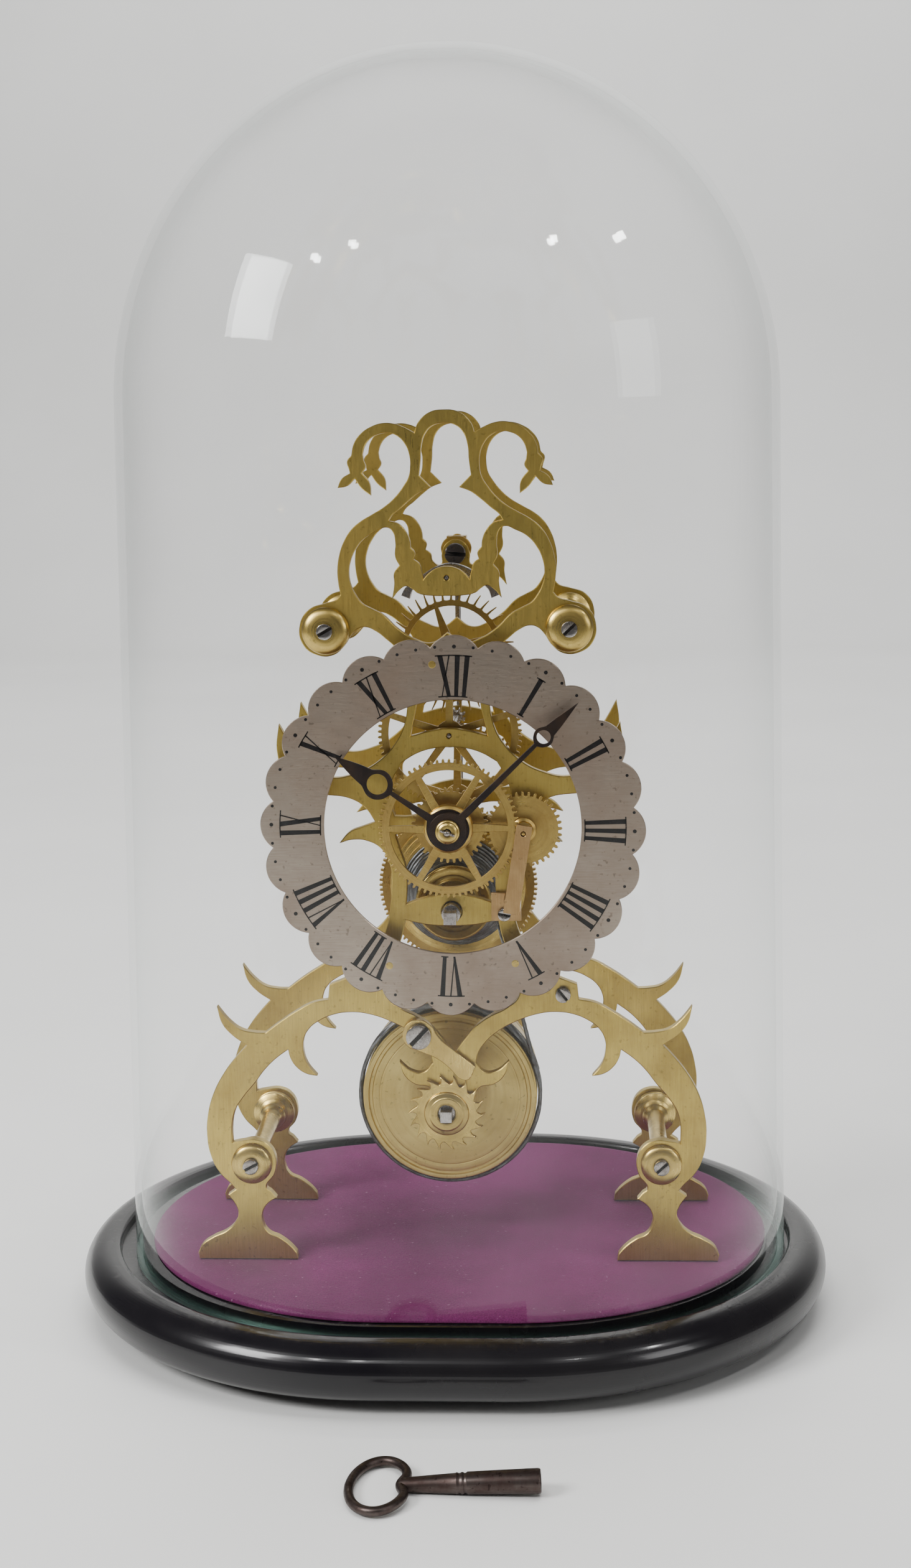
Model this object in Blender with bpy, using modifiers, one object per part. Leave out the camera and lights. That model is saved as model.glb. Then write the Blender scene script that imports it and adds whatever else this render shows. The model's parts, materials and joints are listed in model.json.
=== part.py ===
"""Victorian fusee skeleton timepiece under an oval glass dome.

Run with:  blender --background --python part.py
Units are metres, +Z is up and +X is to the viewer's right.  The origin is the
centre of the base's underside.  Every clock part is drawn face-on: its local X
is right, its local Y is up and its local Z points forward, out of the dial.
"""
import bpy
import bmesh
from math import cos, sin, pi, radians, atan2, acos, hypot
from mathutils import Matrix, Vector

MM = 0.001

# ------------------------------------------------------------ driving dimensions (mm)
DIAL_HEIGHT = 181.4        # dial axis above the table
PLATE_FORWARD = 41.0       # front plate's face ahead of the base's centre
CLOCK_RIGHT = 3.2          # the movement stands a little right of the base's centre
PLATE_THICK = 3.5
PLATE_PITCH = 60.0         # front face to front face of the two plates
GAP = 0.3                  # clearance that touching pieces keep

STRETCH = 21.5             # half of the straight run in the oval base and dome
BASE_RADIUS = 113.5
VELVET_RADIUS = 90.6
VELVET_RIGHT = 1.7
VELVET_TOP = 26.0
DOME_RADIUS = 97.3         # outside, at the foot
DOME_RIGHT = 1.9
DOME_SHOULDER_RADIUS = 93.5
DOME_FOOT = 20.3
DOME_SHOULDER = 321.0
DOME_APEX = 441.0
DOME_WALL = 2.4

DIAL_OUTER = 62.6
DIAL_SCALLOP = 1.9
DIAL_INNER = 43.0
DIAL_THICK = 1.4
DIAL_OFF = 8.0             # back of the dial ahead of the front plate
DIAL_TURN = radians(1.4)   # the dial sits slightly turned on its feet
DIAL_RIGHT = 1.2

UPPER_PILLAR = (40.6, 65.5)
LOWER_PILLAR = (71.0, -120.0)

FUSEE_Z = -30.5
BARREL = (-2.7, -101.2)
THIRD_Z = 29.6
ESCAPE_Z = 55.8
PALLET_Z = 82.6
MINUTE_WHEEL = (24.9, -1.6)

GREAT_TEETH = 96
CENTRE_PINION = 8
CENTRE_TEETH = 76
THIRD_PINION = 8
THIRD_TEETH = 78
ESCAPE_PINION = 7
ESCAPE_TEETH = 40
CANNON_TEETH = 36
MINUTE_TEETH = 36
MINUTE_PINION = 6
HOUR_TEETH = 72
RATCHET_TEETH = 18

MINUTE_HAND_TURN = radians(45.6)
HOUR_HAND_TURN = radians(303.8)

# depth of each layer, measured back from the front plate's front face (mm)
Y_GREAT = 45.0
Y_CENTRE = 51.0
Y_THIRD = 6.0
Y_ESCAPE = 25.0
Y_BARREL_FRONT = 17.0
Y_BARREL_BACK = 44.0

# ------------------------------------------------------------ an empty scene
for old in list(bpy.data.objects):
    bpy.data.objects.remove(old, do_unlink=True)

PARTS = bpy.data.collections.new("skeleton_clock")
bpy.context.scene.collection.children.link(PARTS)
CUTTERS = bpy.data.collections.new("cutters")
bpy.context.scene.collection.children.link(CUTTERS)


def material(name, colour, roughness, metallic):
    """A Principled material with one colour."""
    mat = bpy.data.materials.new(name)
    mat.use_nodes = True
    shader = mat.node_tree.nodes["Principled BSDF"]
    shader.inputs["Base Color"].default_value = (*colour, 1.0)
    shader.inputs["Roughness"].default_value = roughness
    shader.inputs["Metallic"].default_value = metallic
    mat.diffuse_color = (*colour, 1.0)
    return mat


LOOKS = {
    "ebonised": ((0.012, 0.011, 0.013), 0.22, 0.0),
    "velvet": ((0.19, 0.020, 0.10), 0.95, 0.0),
    "plate_brass": ((0.62, 0.45, 0.16), 0.32, 1.0),
    "wheel_brass": ((0.66, 0.46, 0.17), 0.35, 1.0),
    "turned_brass": ((0.72, 0.55, 0.22), 0.22, 1.0),
    "barrel_brass": ((0.70, 0.54, 0.24), 0.38, 1.0),
    "silvered": ((0.55, 0.50, 0.46), 0.42, 1.0),
    "steel": ((0.42, 0.41, 0.40), 0.30, 1.0),
    "dark_steel": ((0.045, 0.038, 0.036), 0.35, 1.0),
    "black_steel": ((0.020, 0.017, 0.016), 0.40, 0.8),
    "line_grey": ((0.13, 0.14, 0.15), 0.45, 0.8),
    "glass": ((0.90, 0.95, 0.93), 0.02, 0.0),
    "iron": ((0.075, 0.060, 0.055), 0.50, 0.9),
}


def own_material(name, look):
    colour, roughness, metallic = LOOKS[look]
    return material(name + "_" + look, colour, roughness, metallic)


def world(x, y, z):
    """Clock coordinates (right, back from the front plate, up from the dial axis) in metres."""
    return Vector(((x + CLOCK_RIGHT) * MM, (y - PLATE_FORWARD) * MM, (z + DIAL_HEIGHT) * MM))


def add_to(ob, name, look):
    """Names an object, gives it its material and moves it into the parts' collection."""
    for col in list(ob.users_collection):
        col.objects.unlink(ob)
    PARTS.objects.link(ob)
    ob.name = name
    ob.data.name = name
    ob.data.materials.clear()
    ob.data.materials.append(own_material(name, look))
    return ob


def face_on(ob, x, y, z, turn=0.0):
    """Places a part drawn face-on, turned clockwise about the fore-and-aft axis."""
    ob.rotation_mode = "XYZ"
    ob.matrix_world = Matrix.Translation(world(x, y, z)) @ Matrix.Rotation(
        turn, 4, "Y") @ Matrix.Rotation(pi / 2, 4, "X")
    return ob


def arbor_axis(name, x, z, y=0.0):
    """An empty on a turning axis."""
    empty = bpy.data.objects.new(name, None)
    empty.location = world(x, y, z)
    empty.empty_display_size = 0.01
    PARTS.objects.link(empty)
    return empty


def hang_on(empty, *parts):
    """Parents parts to their axis empty and leaves them where they are."""
    bpy.context.view_layer.update()
    for ob in parts:
        kept = ob.matrix_world.copy()
        ob.parent = empty
        ob.matrix_parent_inverse = empty.matrix_world.inverted()
        ob.matrix_world = kept


# ------------------------------------------------------------ shape helpers
def turned(profile, steps=24, ring=False):
    """A solid of revolution about local Z from (radius, height) points in mm, top to bottom.

    A ring's profile closes on itself instead of ending on the axis.
    """
    mesh = bpy.data.meshes.new("profile")
    edges = [(i, i + 1) for i in range(len(profile) - 1)]
    if ring:
        edges.append((len(profile) - 1, 0))
    mesh.from_pydata([(r * MM, 0.0, h * MM) for r, h in profile], edges, [])
    ob = bpy.data.objects.new("turned", mesh)
    PARTS.objects.link(ob)
    screw = ob.modifiers.new("turn", "SCREW")
    screw.axis = "Z"
    screw.angle = 2 * pi
    screw.steps = steps
    screw.render_steps = steps
    screw.use_merge_vertices = True
    screw.merge_threshold = 0.00001
    return ob


def baked(ob):
    """The object with its modifiers applied to a welded mesh."""
    bpy.context.view_layer.update()
    graph = bpy.context.evaluated_depsgraph_get()
    mesh = bpy.data.meshes.new_from_object(ob.evaluated_get(graph))
    bm = bmesh.new()
    bm.from_mesh(mesh)
    bmesh.ops.remove_doubles(bm, verts=bm.verts, dist=0.000002)
    bm.to_mesh(mesh)
    bm.free()
    solid = bpy.data.objects.new(ob.name, mesh)
    solid.matrix_world = ob.matrix_world
    for col in ob.users_collection:
        col.objects.link(solid)
    bpy.data.objects.remove(ob, do_unlink=True)
    return solid


def rod(*radii_at):
    """A turned rod's profile from (radius, height) pairs, with flat ends."""
    return [(0.0, radii_at[0][1]), *radii_at, (0.0, radii_at[-1][1])]


def flat(loops, thickness, back=0.0, knots_between=2):
    """An extruded flat outline: closed loops of mm points, standing forward from local Z = back."""
    curve = bpy.data.curves.new("outline", "CURVE")
    curve.dimensions = "2D"
    curve.fill_mode = "BOTH"
    curve.extrude = thickness * MM / 2
    curve.resolution_u = knots_between
    for loop in loops:
        smooth = len(loop[0]) == 3
        spline = curve.splines.new("BEZIER" if smooth else "POLY")
        if smooth:
            spline.bezier_points.add(len(loop) - 1)
            for knot, (x, y, corner) in zip(spline.bezier_points, loop):
                knot.co = (x * MM, y * MM, 0.0)
                kind = "VECTOR" if corner else "AUTO"
                knot.handle_left_type = kind
                knot.handle_right_type = kind
        else:
            spline.points.add(len(loop) - 1)
            for knot, (x, y) in zip(spline.points, loop):
                knot.co = (x * MM, y * MM, 0.0, 1.0)
        spline.use_cyclic_u = True
    ob = bpy.data.objects.new("outline", curve)
    PARTS.objects.link(ob)
    solid = baked(ob)
    for vert in solid.data.vertices:
        vert.co.z += (back + thickness / 2) * MM
    return solid


def circle(cx, cy, radius, count=16, start=0.0):
    return [(cx + radius * cos(start + 2 * pi * k / count),
             cy + radius * sin(start + 2 * pi * k / count)) for k in range(count)]


def mirrored(half):
    """A closed symmetric loop from its right half, listed from top centre to bottom centre."""
    left = [(-p[0], *p[1:]) for p in reversed(half) if abs(p[0]) > 0.01]
    return list(half) + left


def teeth(count, root, tip, foot_share, phase, lean=0.0):
    """A gear's outline: straight-sided pointed teeth, the first centred on the angle phase."""
    loop = []
    for k in range(count):
        mid = phase + 2 * pi * k / count
        for radius, share in ((root, -foot_share), (tip, lean), (root, foot_share)):
            at = mid + share * pi / count
            loop.append((radius * cos(at), radius * sin(at)))
    return loop


def windows(count, inner, outer, hub_web, rim_web, first, steps=4):
    """The openings between a wheel's spokes, spokes standing at the angle first and on."""
    loops = []
    for k in range(count):
        low = first + 2 * pi * k / count
        high = first + 2 * pi * (k + 1) / count
        out_a, out_b = low + rim_web / 2 / outer, high - rim_web / 2 / outer
        in_a, in_b = low + hub_web / 2 / inner, high - hub_web / 2 / inner
        loop = [(outer * cos(out_a + (out_b - out_a) * i / steps),
                 outer * sin(out_a + (out_b - out_a) * i / steps)) for i in range(steps + 1)]
        loop += [(inner * cos(in_b + (in_a - in_b) * i / 2),
                  inner * sin(in_b + (in_a - in_b) * i / 2)) for i in range(3)]
        loops.append(loop)
    return loops


def box(cx, cy, cz, wide, high, deep):
    """A box in mm, centred on local (cx, cy, cz)."""
    bpy.ops.mesh.primitive_cube_add(size=1.0)
    ob = bpy.context.active_object
    for vert in ob.data.vertices:
        vert.co = Vector(((cx + vert.co.x * wide) * MM, (cy + vert.co.y * high) * MM,
                          (cz + vert.co.z * deep) * MM))
    return ob


def cut(ob, cutter, operation="DIFFERENCE"):
    """A Boolean with a cutter drawn in the same local frame."""
    for col in list(cutter.users_collection):
        col.objects.unlink(cutter)
    CUTTERS.objects.link(cutter)
    cutter.hide_render = True
    cutter.display_type = "WIRE"
    mod = ob.modifiers.new("cut", "BOOLEAN")
    mod.object = cutter
    mod.operation = operation
    mod.solver = "EXACT"
    return ob


def joined(main, *others):
    """One body made from several overlapping solids drawn in the same local frame."""
    for other in others:
        cut(main, other, "UNION")
    solid = baked(main)
    for other in others:
        bpy.data.objects.remove(other, do_unlink=True)
    return solid


def slotted_screw(name, x, y, z, head, thick, shank, length, slot_turn, look="steel"):
    """A cheese-head screw, its head's underside at depth y, shank running back."""
    ob = turned([(0, thick), (head * 0.80, thick), (head, thick * 0.72), (head, 0),
                 (shank, 0), (shank, -length), (0, -length)], 8)
    slot = box(0, 0, thick, head * 0.26, head * 2.6, thick * 0.9)
    slot.data.transform(Matrix.Rotation(slot_turn, 4, "Z"))
    cut(ob, slot)
    solid = baked(ob)
    bpy.data.objects.remove(slot, do_unlink=True)
    add_to(solid, name, look)
    return face_on(solid, x, y, z)


# ------------------------------------------------------------ oval base, velvet and dome
def oval(profile, name, look, wall=None, right=0.0, steps=28):
    """A turned shape drawn out sideways, so that its plan is a long oval.

    Each ring moves out by STRETCH; with a wall radius the shift fades towards the pole.
    """
    ob = turned(profile, steps)
    ob.rotation_euler = (0, 0, pi / steps)
    solid = baked(ob)
    solid.data.transform(solid.matrix_world)
    solid.matrix_world = Matrix.Identity(4)
    for vert in solid.data.vertices:
        ring = hypot(vert.co.x, vert.co.y) / MM
        if ring > 0.01:
            shift = STRETCH if wall is None else STRETCH * min(1.0, ring / wall)
            vert.co.x += shift * MM if vert.co.x > 0 else -shift * MM
        vert.co.x += right * MM
    return add_to(solid, name, look)


bead = [(103.5 + 10.0 * sin(radians(a)), 14.0 + 10.0 * cos(radians(a)))
        for a in range(0, 181, 22)]
base = oval([(0, 23.6), (92.4, 23.6), (92.4, 20.0), (100.0, 20.0), (100.0, 22.8),
             (101.2, 23.7), *bead, (98.0, 4.0), (97.0, 0.0), (0, 0.0)],
            "base_moulding", "ebonised")
velvet = oval([(0, VELVET_TOP), (VELVET_RADIUS - 1.0, VELVET_TOP),
               (VELVET_RADIUS, VELVET_TOP - 0.8), (VELVET_RADIUS, 23.9), (0, 23.9)],
              "velvet_pad", "velvet", right=VELVET_RIGHT)

dome_rise = DOME_APEX - DOME_SHOULDER
outer = [(DOME_SHOULDER_RADIUS * sin(radians(a)), DOME_SHOULDER + dome_rise * cos(radians(a)))
         for a in range(0, 91, 15)]
inner = [((DOME_SHOULDER_RADIUS - DOME_WALL) * sin(radians(a)),
          DOME_SHOULDER + (dome_rise - DOME_WALL) * cos(radians(a)))
         for a in range(90, -1, -15)]
dome = oval([*outer, (95.2, 170.0), (DOME_RADIUS, DOME_FOOT),
             (DOME_RADIUS - DOME_WALL, DOME_FOOT), (95.2 - DOME_WALL, 170.0), *inner],
            "glass_dome", "glass", wall=DOME_SHOULDER_RADIUS, right=DOME_RIGHT)


# ------------------------------------------------------------ pierced plates
# each knot is (right, up, 1 at a corner or 0 where the edge runs smooth); right half only

CROWN = [(0, 137.7, 0), (4.6, 137.0, 0), (8.6, 133.6, 0), (9.9, 130.3, 1), (12.6, 131.8, 0),
         (16.4, 133.3, 0), (20.3, 133.6, 0), (24.3, 132.4, 0), (27.6, 130.2, 0),
         (29.9, 127.0, 0), (30.8, 123.2, 1)]
TASSEL = [(32.2, 121.4, 0), (31.6, 118.4, 0), (31.4, 117.4, 1), (34.2, 115.6, 0),
          (35.6, 112.6, 1), (32.4, 113.2, 0), (29.8, 115.6, 1), (27.8, 112.6, 0),
          (24.6, 110.0, 1), (25.0, 114.2, 0), (27.4, 117.4, 1),
          (26.2, 119.4, 0), (26.8, 121.4, 1)]
SCROLL = [(27.1, 123.4, 1), (26.3, 126.1, 0), (24.5, 128.5, 0), (21.6, 130.0, 0),
          (18.3, 130.3, 0), (15.4, 129.2, 0), (13.0, 126.6, 0), (11.6, 122.9, 0),
          (11.4, 119.6, 0), (12.0, 116.0, 0), (13.6, 113.2, 0), (16.6, 109.4, 0),
          (20.2, 106.3, 0), (24.2, 103.9, 0), (28.2, 101.6, 0), (31.4, 98.9, 0),
          (34.0, 94.9, 0), (35.6, 90.4, 0), (36.3, 85.6, 0), (36.0, 80.6, 0),
          (35.4, 77.4, 1), (37.0, 75.7, 0), (40.6, 74.6, 0)]
LUG = [(46.4, 72.4, 0), (49.4, 67.2, 0), (48.4, 60.8, 0), (44.0, 57.4, 0), (38.4, 57.2, 0),
       (34.4, 60.4, 0), (32.2, 63.8, 0), (30.0, 65.9, 0), (27.4, 66.5, 0), (23.9, 65.1, 0),
       (20.7, 62.6, 0), (17.4, 59.4, 0)]
NECK = [(14.8, 54.0, 0), (13.6, 46.0, 0), (13.9, 39.4, 0), (14.9, 33.9, 0), (17.6, 28.0, 0),
        (23.4, 21.6, 0), (31.0, 17.4, 0), (40.5, 15.8, 0), (47.0, 18.6, 0), (52.2, 25.0, 0),
        (57.4, 34.0, 1), (58.2, 24.6, 0), (55.0, 15.0, 0), (49.0, 10.4, 0), (42.0, 9.8, 0)]
THORN = [(34.0, 8.6, 0), (29.0, 5.6, 0), (25.4, 0.4, 1), (30.0, -1.2, 0), (34.2, -2.9, 0),
         (37.8, -6.8, 1), (33.0, -5.6, 0), (28.2, -6.1, 0), (23.6, -8.8, 0)]
SIDE = [(20.8, -14.0, 0), (20.2, -20.0, 0), (20.8, -28.0, 0), (22.6, -37.0, 0),
        (27.2, -46.0, 0), (34.0, -52.4, 0), (42.4, -56.2, 1), (43.0, -61.4, 1)]
HORN = [(48.8, -62.7, 0), (54.4, -65.7, 0), (60.0, -69.4, 0), (65.0, -73.2, 1),
        (69.0, -73.0, 0), (73.4, -72.0, 0), (77.2, -69.2, 0), (81.6, -63.8, 1),
        (79.9, -70.0, 0), (76.4, -74.2, 0), (71.6, -77.6, 1)]
LEG = [(75.6, -82.0, 0), (79.9, -87.6, 0), (83.6, -94.4, 0), (86.0, -102.6, 0),
       (86.5, -110.0, 0), (85.5, -117.0, 0), (82.6, -123.4, 0), (78.6, -127.7, 0)]
FOOT = [(77.0, -129.6, 1), (79.8, -131.6, 1), (77.4, -135.0, 0), (76.4, -138.2, 0),
        (77.6, -141.6, 0), (80.8, -144.8, 0), (85.4, -147.0, 0), (89.6, -150.0, 0),
        (91.0, -152.8, 1), (90.6, -155.0, 1), (55.8, -155.0, 1), (56.2, -152.6, 1),
        (58.2, -150.2, 0), (62.0, -147.2, 0), (66.2, -145.0, 0), (67.9, -141.4, 0),
        (67.8, -138.0, 0), (66.0, -134.8, 0), (62.8, -132.6, 1), (64.6, -130.4, 1),
        (66.2, -128.9, 0)]
BOSS = [(63.2, -123.8, 0), (62.6, -118.6, 0), (64.8, -113.8, 0), (69.0, -111.6, 0),
        (74.2, -111.9, 0), (77.6, -112.6, 1)]
SHIN = [(77.6, -107.0, 0), (76.4, -101.2, 0), (73.2, -96.0, 0), (69.2, -91.2, 0),
        (65.6, -86.4, 0), (61.6, -82.4, 0), (57.3, -79.2, 1), (56.6, -82.2, 0),
        (54.4, -85.6, 0), (51.2, -87.8, 0), (47.4, -88.6, 1), (50.6, -84.4, 0),
        (51.9, -80.2, 0), (51.8, -75.8, 0), (49.8, -71.8, 0), (46.2, -68.9, 0),
        (41.4, -66.8, 0), (35.4, -65.9, 0), (29.0, -66.6, 0), (22.0, -69.0, 0),
        (15.4, -72.6, 0), (10.9, -76.6, 0), (8.4, -80.4, 0), (7.4, -84.0, 1)]
PENDANT = [(10.6, -87.2, 0), (14.6, -86.8, 0), (18.8, -83.4, 1), (17.2, -88.4, 0),
           (13.4, -91.6, 0), (8.8, -92.6, 0), (7.2, -96.0, 0), (7.4, -102.0, 0),
           (5.4, -106.6, 0), (0, -108.4, 0)]

HEART = [(0, 133.3, 0), (3.6, 132.6, 0), (6.2, 130.2, 0), (7.6, 126.2, 0), (8.0, 121.0, 0),
         (8.6, 116.4, 1), (4.6, 112.4, 1), (8.4, 110.9, 0), (11.4, 108.7, 0),
         (14.9, 105.7, 0), (17.8, 103.3, 0), (18.8, 101.6, 1), (15.6, 100.6, 0),
         (13.2, 98.0, 0), (12.0, 95.0, 0), (11.8, 92.8, 1), (10.4, 91.0, 0), (10.8, 88.8, 1),
         (9.0, 87.4, 0), (8.2, 84.6, 0), (7.7, 82.2, 1), (6.0, 84.1, 0), (3.2, 85.8, 0),
         (0, 86.4, 0)]
BACK_HEART = HEART[:20] + [(5.6, 83.4, 0), (5.0, 87.4, 0), (3.4, 90.9, 0), (0, 92.2, 0)]
SCREEN = [(0, 76.6, 0), (5.0, 76.7, 0), (9.6, 77.6, 0), (11.4, 79.0, 0), (13.4, 80.0, 0),
          (15.8, 78.6, 0), (18.2, 75.8, 1), (17.4, 80.8, 0), (17.4, 84.4, 0), (15.6, 86.9, 1),
          (16.9, 89.6, 0), (16.8, 94.4, 0), (17.6, 98.0, 0), (19.4, 99.4, 0),
          (23.0, 98.2, 0), (27.0, 96.0, 0), (30.2, 92.2, 0), (32.0, 88.0, 0),
          (32.5, 84.2, 0), (31.8, 80.2, 0), (30.2, 76.9, 0), (28.0, 74.2, 0),
          (25.1, 72.6, 0), (21.4, 70.6, 0), (16.6, 66.0, 0), (11.0, 62.4, 0), (5.4, 61.0, 0),
          (0, 64.4, 1)]
COLLAR = [(0, 50.2, 0), (5.6, 48.2, 0), (9.6, 44.4, 0), (11.0, 38.6, 0), (12.9, 29.7, 1),
          (6.2, 31.4, 0), (0, 32.2, 0)]
HEAD = [(0, 25.8, 0), (4.4, 25.6, 0), (10.4, 24.0, 0), (16.0, 20.8, 1), (19.6, 14.0, 0),
        (20.6, 8.0, 0), (18.8, 2.4, 1), (13.4, 2.4, 0), (6.0, 4.4, 0), (0, 5.2, 0)]
TRUNK = [(0, -4.6, 0), (6.0, -4.0, 0), (13.0, -3.0, 0), (18.6, -4.0, 1), (17.2, -9.0, 0),
         (15.4, -15.0, 0), (15.0, -21.4, 0), (15.4, -28.0, 1), (8.8, -25.8, 0),
         (0, -24.4, 0)]
BELLY = [(0, -35.6, 0), (8.0, -35.2, 0), (15.8, -33.6, 1), (17.4, -40.4, 0),
         (20.6, -47.8, 0), (23.0, -54.0, 0), (22.4, -60.6, 0), (18.0, -64.6, 0),
         (12.6, -67.3, 0), (8.0, -70.6, 0), (4.2, -75.0, 0), (0, -80.6, 1)]
EDGE = CROWN + TASSEL + SCROLL + LUG + NECK + THORN + SIDE + HORN + LEG + FOOT + BOSS + SHIN
PILLAR_BORE = 2.1


def pierced_plate(name, y, heart, extra_holes):
    """One frame plate: outline, openings and holes drawn as closed loops, then extruded."""
    loops = [mirrored(EDGE + PENDANT), mirrored(heart), mirrored(SCREEN), mirrored(COLLAR),
             mirrored(HEAD), mirrored(TRUNK), mirrored(BELLY)]
    for side in (-1, 1):
        loops.append(circle(side * UPPER_PILLAR[0], UPPER_PILLAR[1], PILLAR_BORE, 8))
        loops.append(circle(side * LOWER_PILLAR[0], LOWER_PILLAR[1], PILLAR_BORE, 8))
    for cx, cy, radius in extra_holes:
        loops.append(circle(cx, cy, radius, 8))
    plate = flat(loops, PLATE_THICK, -PLATE_THICK, 1)
    add_to(plate, name, "plate_brass")
    return face_on(plate, 0, y, 0)


COCK_SCREW = (18.0, -31.0)
CLICK_PIVOT = (-11.8, -73.6)
PLATE_SCREW = (37.6, -59.6)
SUSPENSION_SCREW_Z = 87.4
front_holes = [(0.0, THIRD_Z, 0.9), (0.0, ESCAPE_Z, 0.9), (0.0, 0.0, 1.9),
               (0.0, FUSEE_Z, 3.5), (*BARREL, 3.2), (0.0, PALLET_Z, 0.9),
               (*PLATE_SCREW, 1.1), (*COCK_SCREW, 1.1), (*CLICK_PIVOT, 1.3)]
back_holes = [(0.0, THIRD_Z, 0.9), (0.0, ESCAPE_Z, 0.9), (0.0, 0.0, 1.3),
              (0.0, FUSEE_Z, 1.9), (*BARREL, 2.4), (0.0, PALLET_Z, 1.4),
              (0.0, SUSPENSION_SCREW_Z, 1.6)]
front_plate = pierced_plate("front_plate", 0.0, HEART, front_holes)
back_plate = pierced_plate("back_plate", PLATE_PITCH, BACK_HEART, back_holes)


# ------------------------------------------------------------ pillars, washers and screws
CORNERS = (("upper_left", -UPPER_PILLAR[0], UPPER_PILLAR[1]),
           ("upper_right", UPPER_PILLAR[0], UPPER_PILLAR[1]),
           ("lower_left", -LOWER_PILLAR[0], LOWER_PILLAR[1]),
           ("lower_right", LOWER_PILLAR[0], LOWER_PILLAR[1]))
pillar_end = (PLATE_PITCH - PLATE_THICK - 2 * GAP) / 2
pillar_half = [(7.6, pillar_end), (7.6, pillar_end - 3.2), (4.0, pillar_end - 5.0),
               (4.8, pillar_end - 7.6), (3.2, pillar_end - 9.6), (3.0, 0.0)]
for name, x, z in CORNERS:
    pillar = turned([(0, pillar_end), *pillar_half,
                     *[(r, -h) for r, h in reversed(pillar_half[:-1])], (0, -pillar_end)],
                    12)
    add_to(pillar, "pillar_" + name, "turned_brass")
    face_on(pillar, x, PLATE_THICK + GAP + pillar_end, z)

    rim = 8.0 if name.startswith("upper") else 7.1
    bulge = 3.4 if name.startswith("upper") else 2.6
    washer = turned([(1.9, bulge), (3.2, bulge), (rim * 0.66, bulge * 0.78),
                     (rim * 0.88, bulge * 0.40), (rim, 0), (1.9, 0)], 16, ring=True)
    add_to(washer, "washer_" + name, "turned_brass")
    face_on(washer, x, -GAP, z)
    slotted_screw("screw_front_" + name, x, -2 * GAP - bulge, z, 2.7, 1.6, 1.5,
                  bulge + GAP + PLATE_THICK, -0.5 if x < 0 else -0.75)
    back_screw = slotted_screw("screw_back_" + name, x, PLATE_PITCH + PLATE_THICK + GAP, z,
                               3.2, 1.8, 1.5, PLATE_THICK, 0.4)
    back_screw.matrix_world = back_screw.matrix_world @ Matrix.Rotation(pi, 4, "Y")

slotted_screw("plate_screw", PLATE_SCREW[0], -GAP, PLATE_SCREW[1], 2.6, 1.7, 0.8, 3.6, 0.9)


# ------------------------------------------------------------ dial on its feet
def scalloped(count, radius, depth, steps=4):
    """A ring's edge of equal round lobes, one centred on twelve o'clock."""
    loop = []
    for k in range(count * steps):
        at = pi / 2 + 2 * pi * k / (count * steps)
        lobe = abs(cos(count * (at - pi / 2) / 2)) ** 0.6
        out = radius - depth + 2 * depth * lobe
        loop.append((out * cos(at), out * sin(at)))
    return loop


dial = flat([scalloped(24, DIAL_OUTER, DIAL_SCALLOP), circle(0, 0, DIAL_INNER, 48)],
            DIAL_THICK)
dial_feet = []
for bearing, reach in ((97.5, 55.1), (-64.8, 50.8), (-113.6, 52.0)):
    foot = turned(rod((1.4, DIAL_THICK / 2), (1.4, GAP - DIAL_OFF)), 10)
    foot.location = (reach * cos(radians(bearing)) * MM, reach * sin(radians(bearing)) * MM, 0)
    dial_feet.append(foot)
dial = joined(dial, *dial_feet)
add_to(dial, "dial", "silvered")
face_on(dial, DIAL_RIGHT, -DIAL_OFF, 0, DIAL_TURN)


# ------------------------------------------------------------ gear train
def wheel_pair(distance, wheel_teeth, pinion_teeth):
    """Pitch radii of a meshing wheel and pinion, and their module."""
    module = 2 * distance / (wheel_teeth + pinion_teeth)
    return module * wheel_teeth / 2, module * pinion_teeth / 2, module


def wheel_edge(count, pitch, module, phase):
    """A wheel's edge as a zigzag: one point at each tooth's tip and one at each root."""
    loop = []
    for k in range(count):
        at = phase + 2 * pi * k / count
        loop.append(((pitch + 0.72 * module) * cos(at), (pitch + 0.72 * module) * sin(at)))
        at += pi / count
        loop.append(((pitch - 1.30 * module) * cos(at), (pitch - 1.30 * module) * sin(at)))
    return loop


def pinion_edge(count, pitch, module, phase):
    return teeth(count, pitch - 1.30 * module, pitch + 0.62 * module, 0.60, phase)


UP = pi / 2
DOWN = -pi / 2
great_r, centre_pinion_r, great_m = wheel_pair(-FUSEE_Z, GREAT_TEETH, CENTRE_PINION)
centre_r, third_pinion_r, centre_m = wheel_pair(THIRD_Z, CENTRE_TEETH, THIRD_PINION)
third_r, escape_pinion_r, third_m = wheel_pair(ESCAPE_Z - THIRD_Z, THIRD_TEETH,
                                               ESCAPE_PINION)
motion_reach = hypot(*MINUTE_WHEEL)
motion_turn = atan2(MINUTE_WHEEL[1], MINUTE_WHEEL[0])
minute_r, cannon_r, minute_m = wheel_pair(motion_reach, MINUTE_TEETH, CANNON_TEETH)
hour_r, minute_pinion_r, hour_m = wheel_pair(motion_reach, HOUR_TEETH, MINUTE_PINION)


def arbor(profile, pinion_loop, pinion_front, pinion_back, steps=8):
    """A steel arbor with its pinion cut on it; local Z = 0 is the front plate's face."""
    shaft = turned(profile, steps)
    leaves = flat([pinion_loop], pinion_back - pinion_front, -pinion_back)
    return joined(shaft, leaves)


# fusee with its great wheel
FUSEE_FRONT = 12.0
FUSEE_BACK = 43.2
fusee_long = FUSEE_BACK - FUSEE_FRONT


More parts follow.
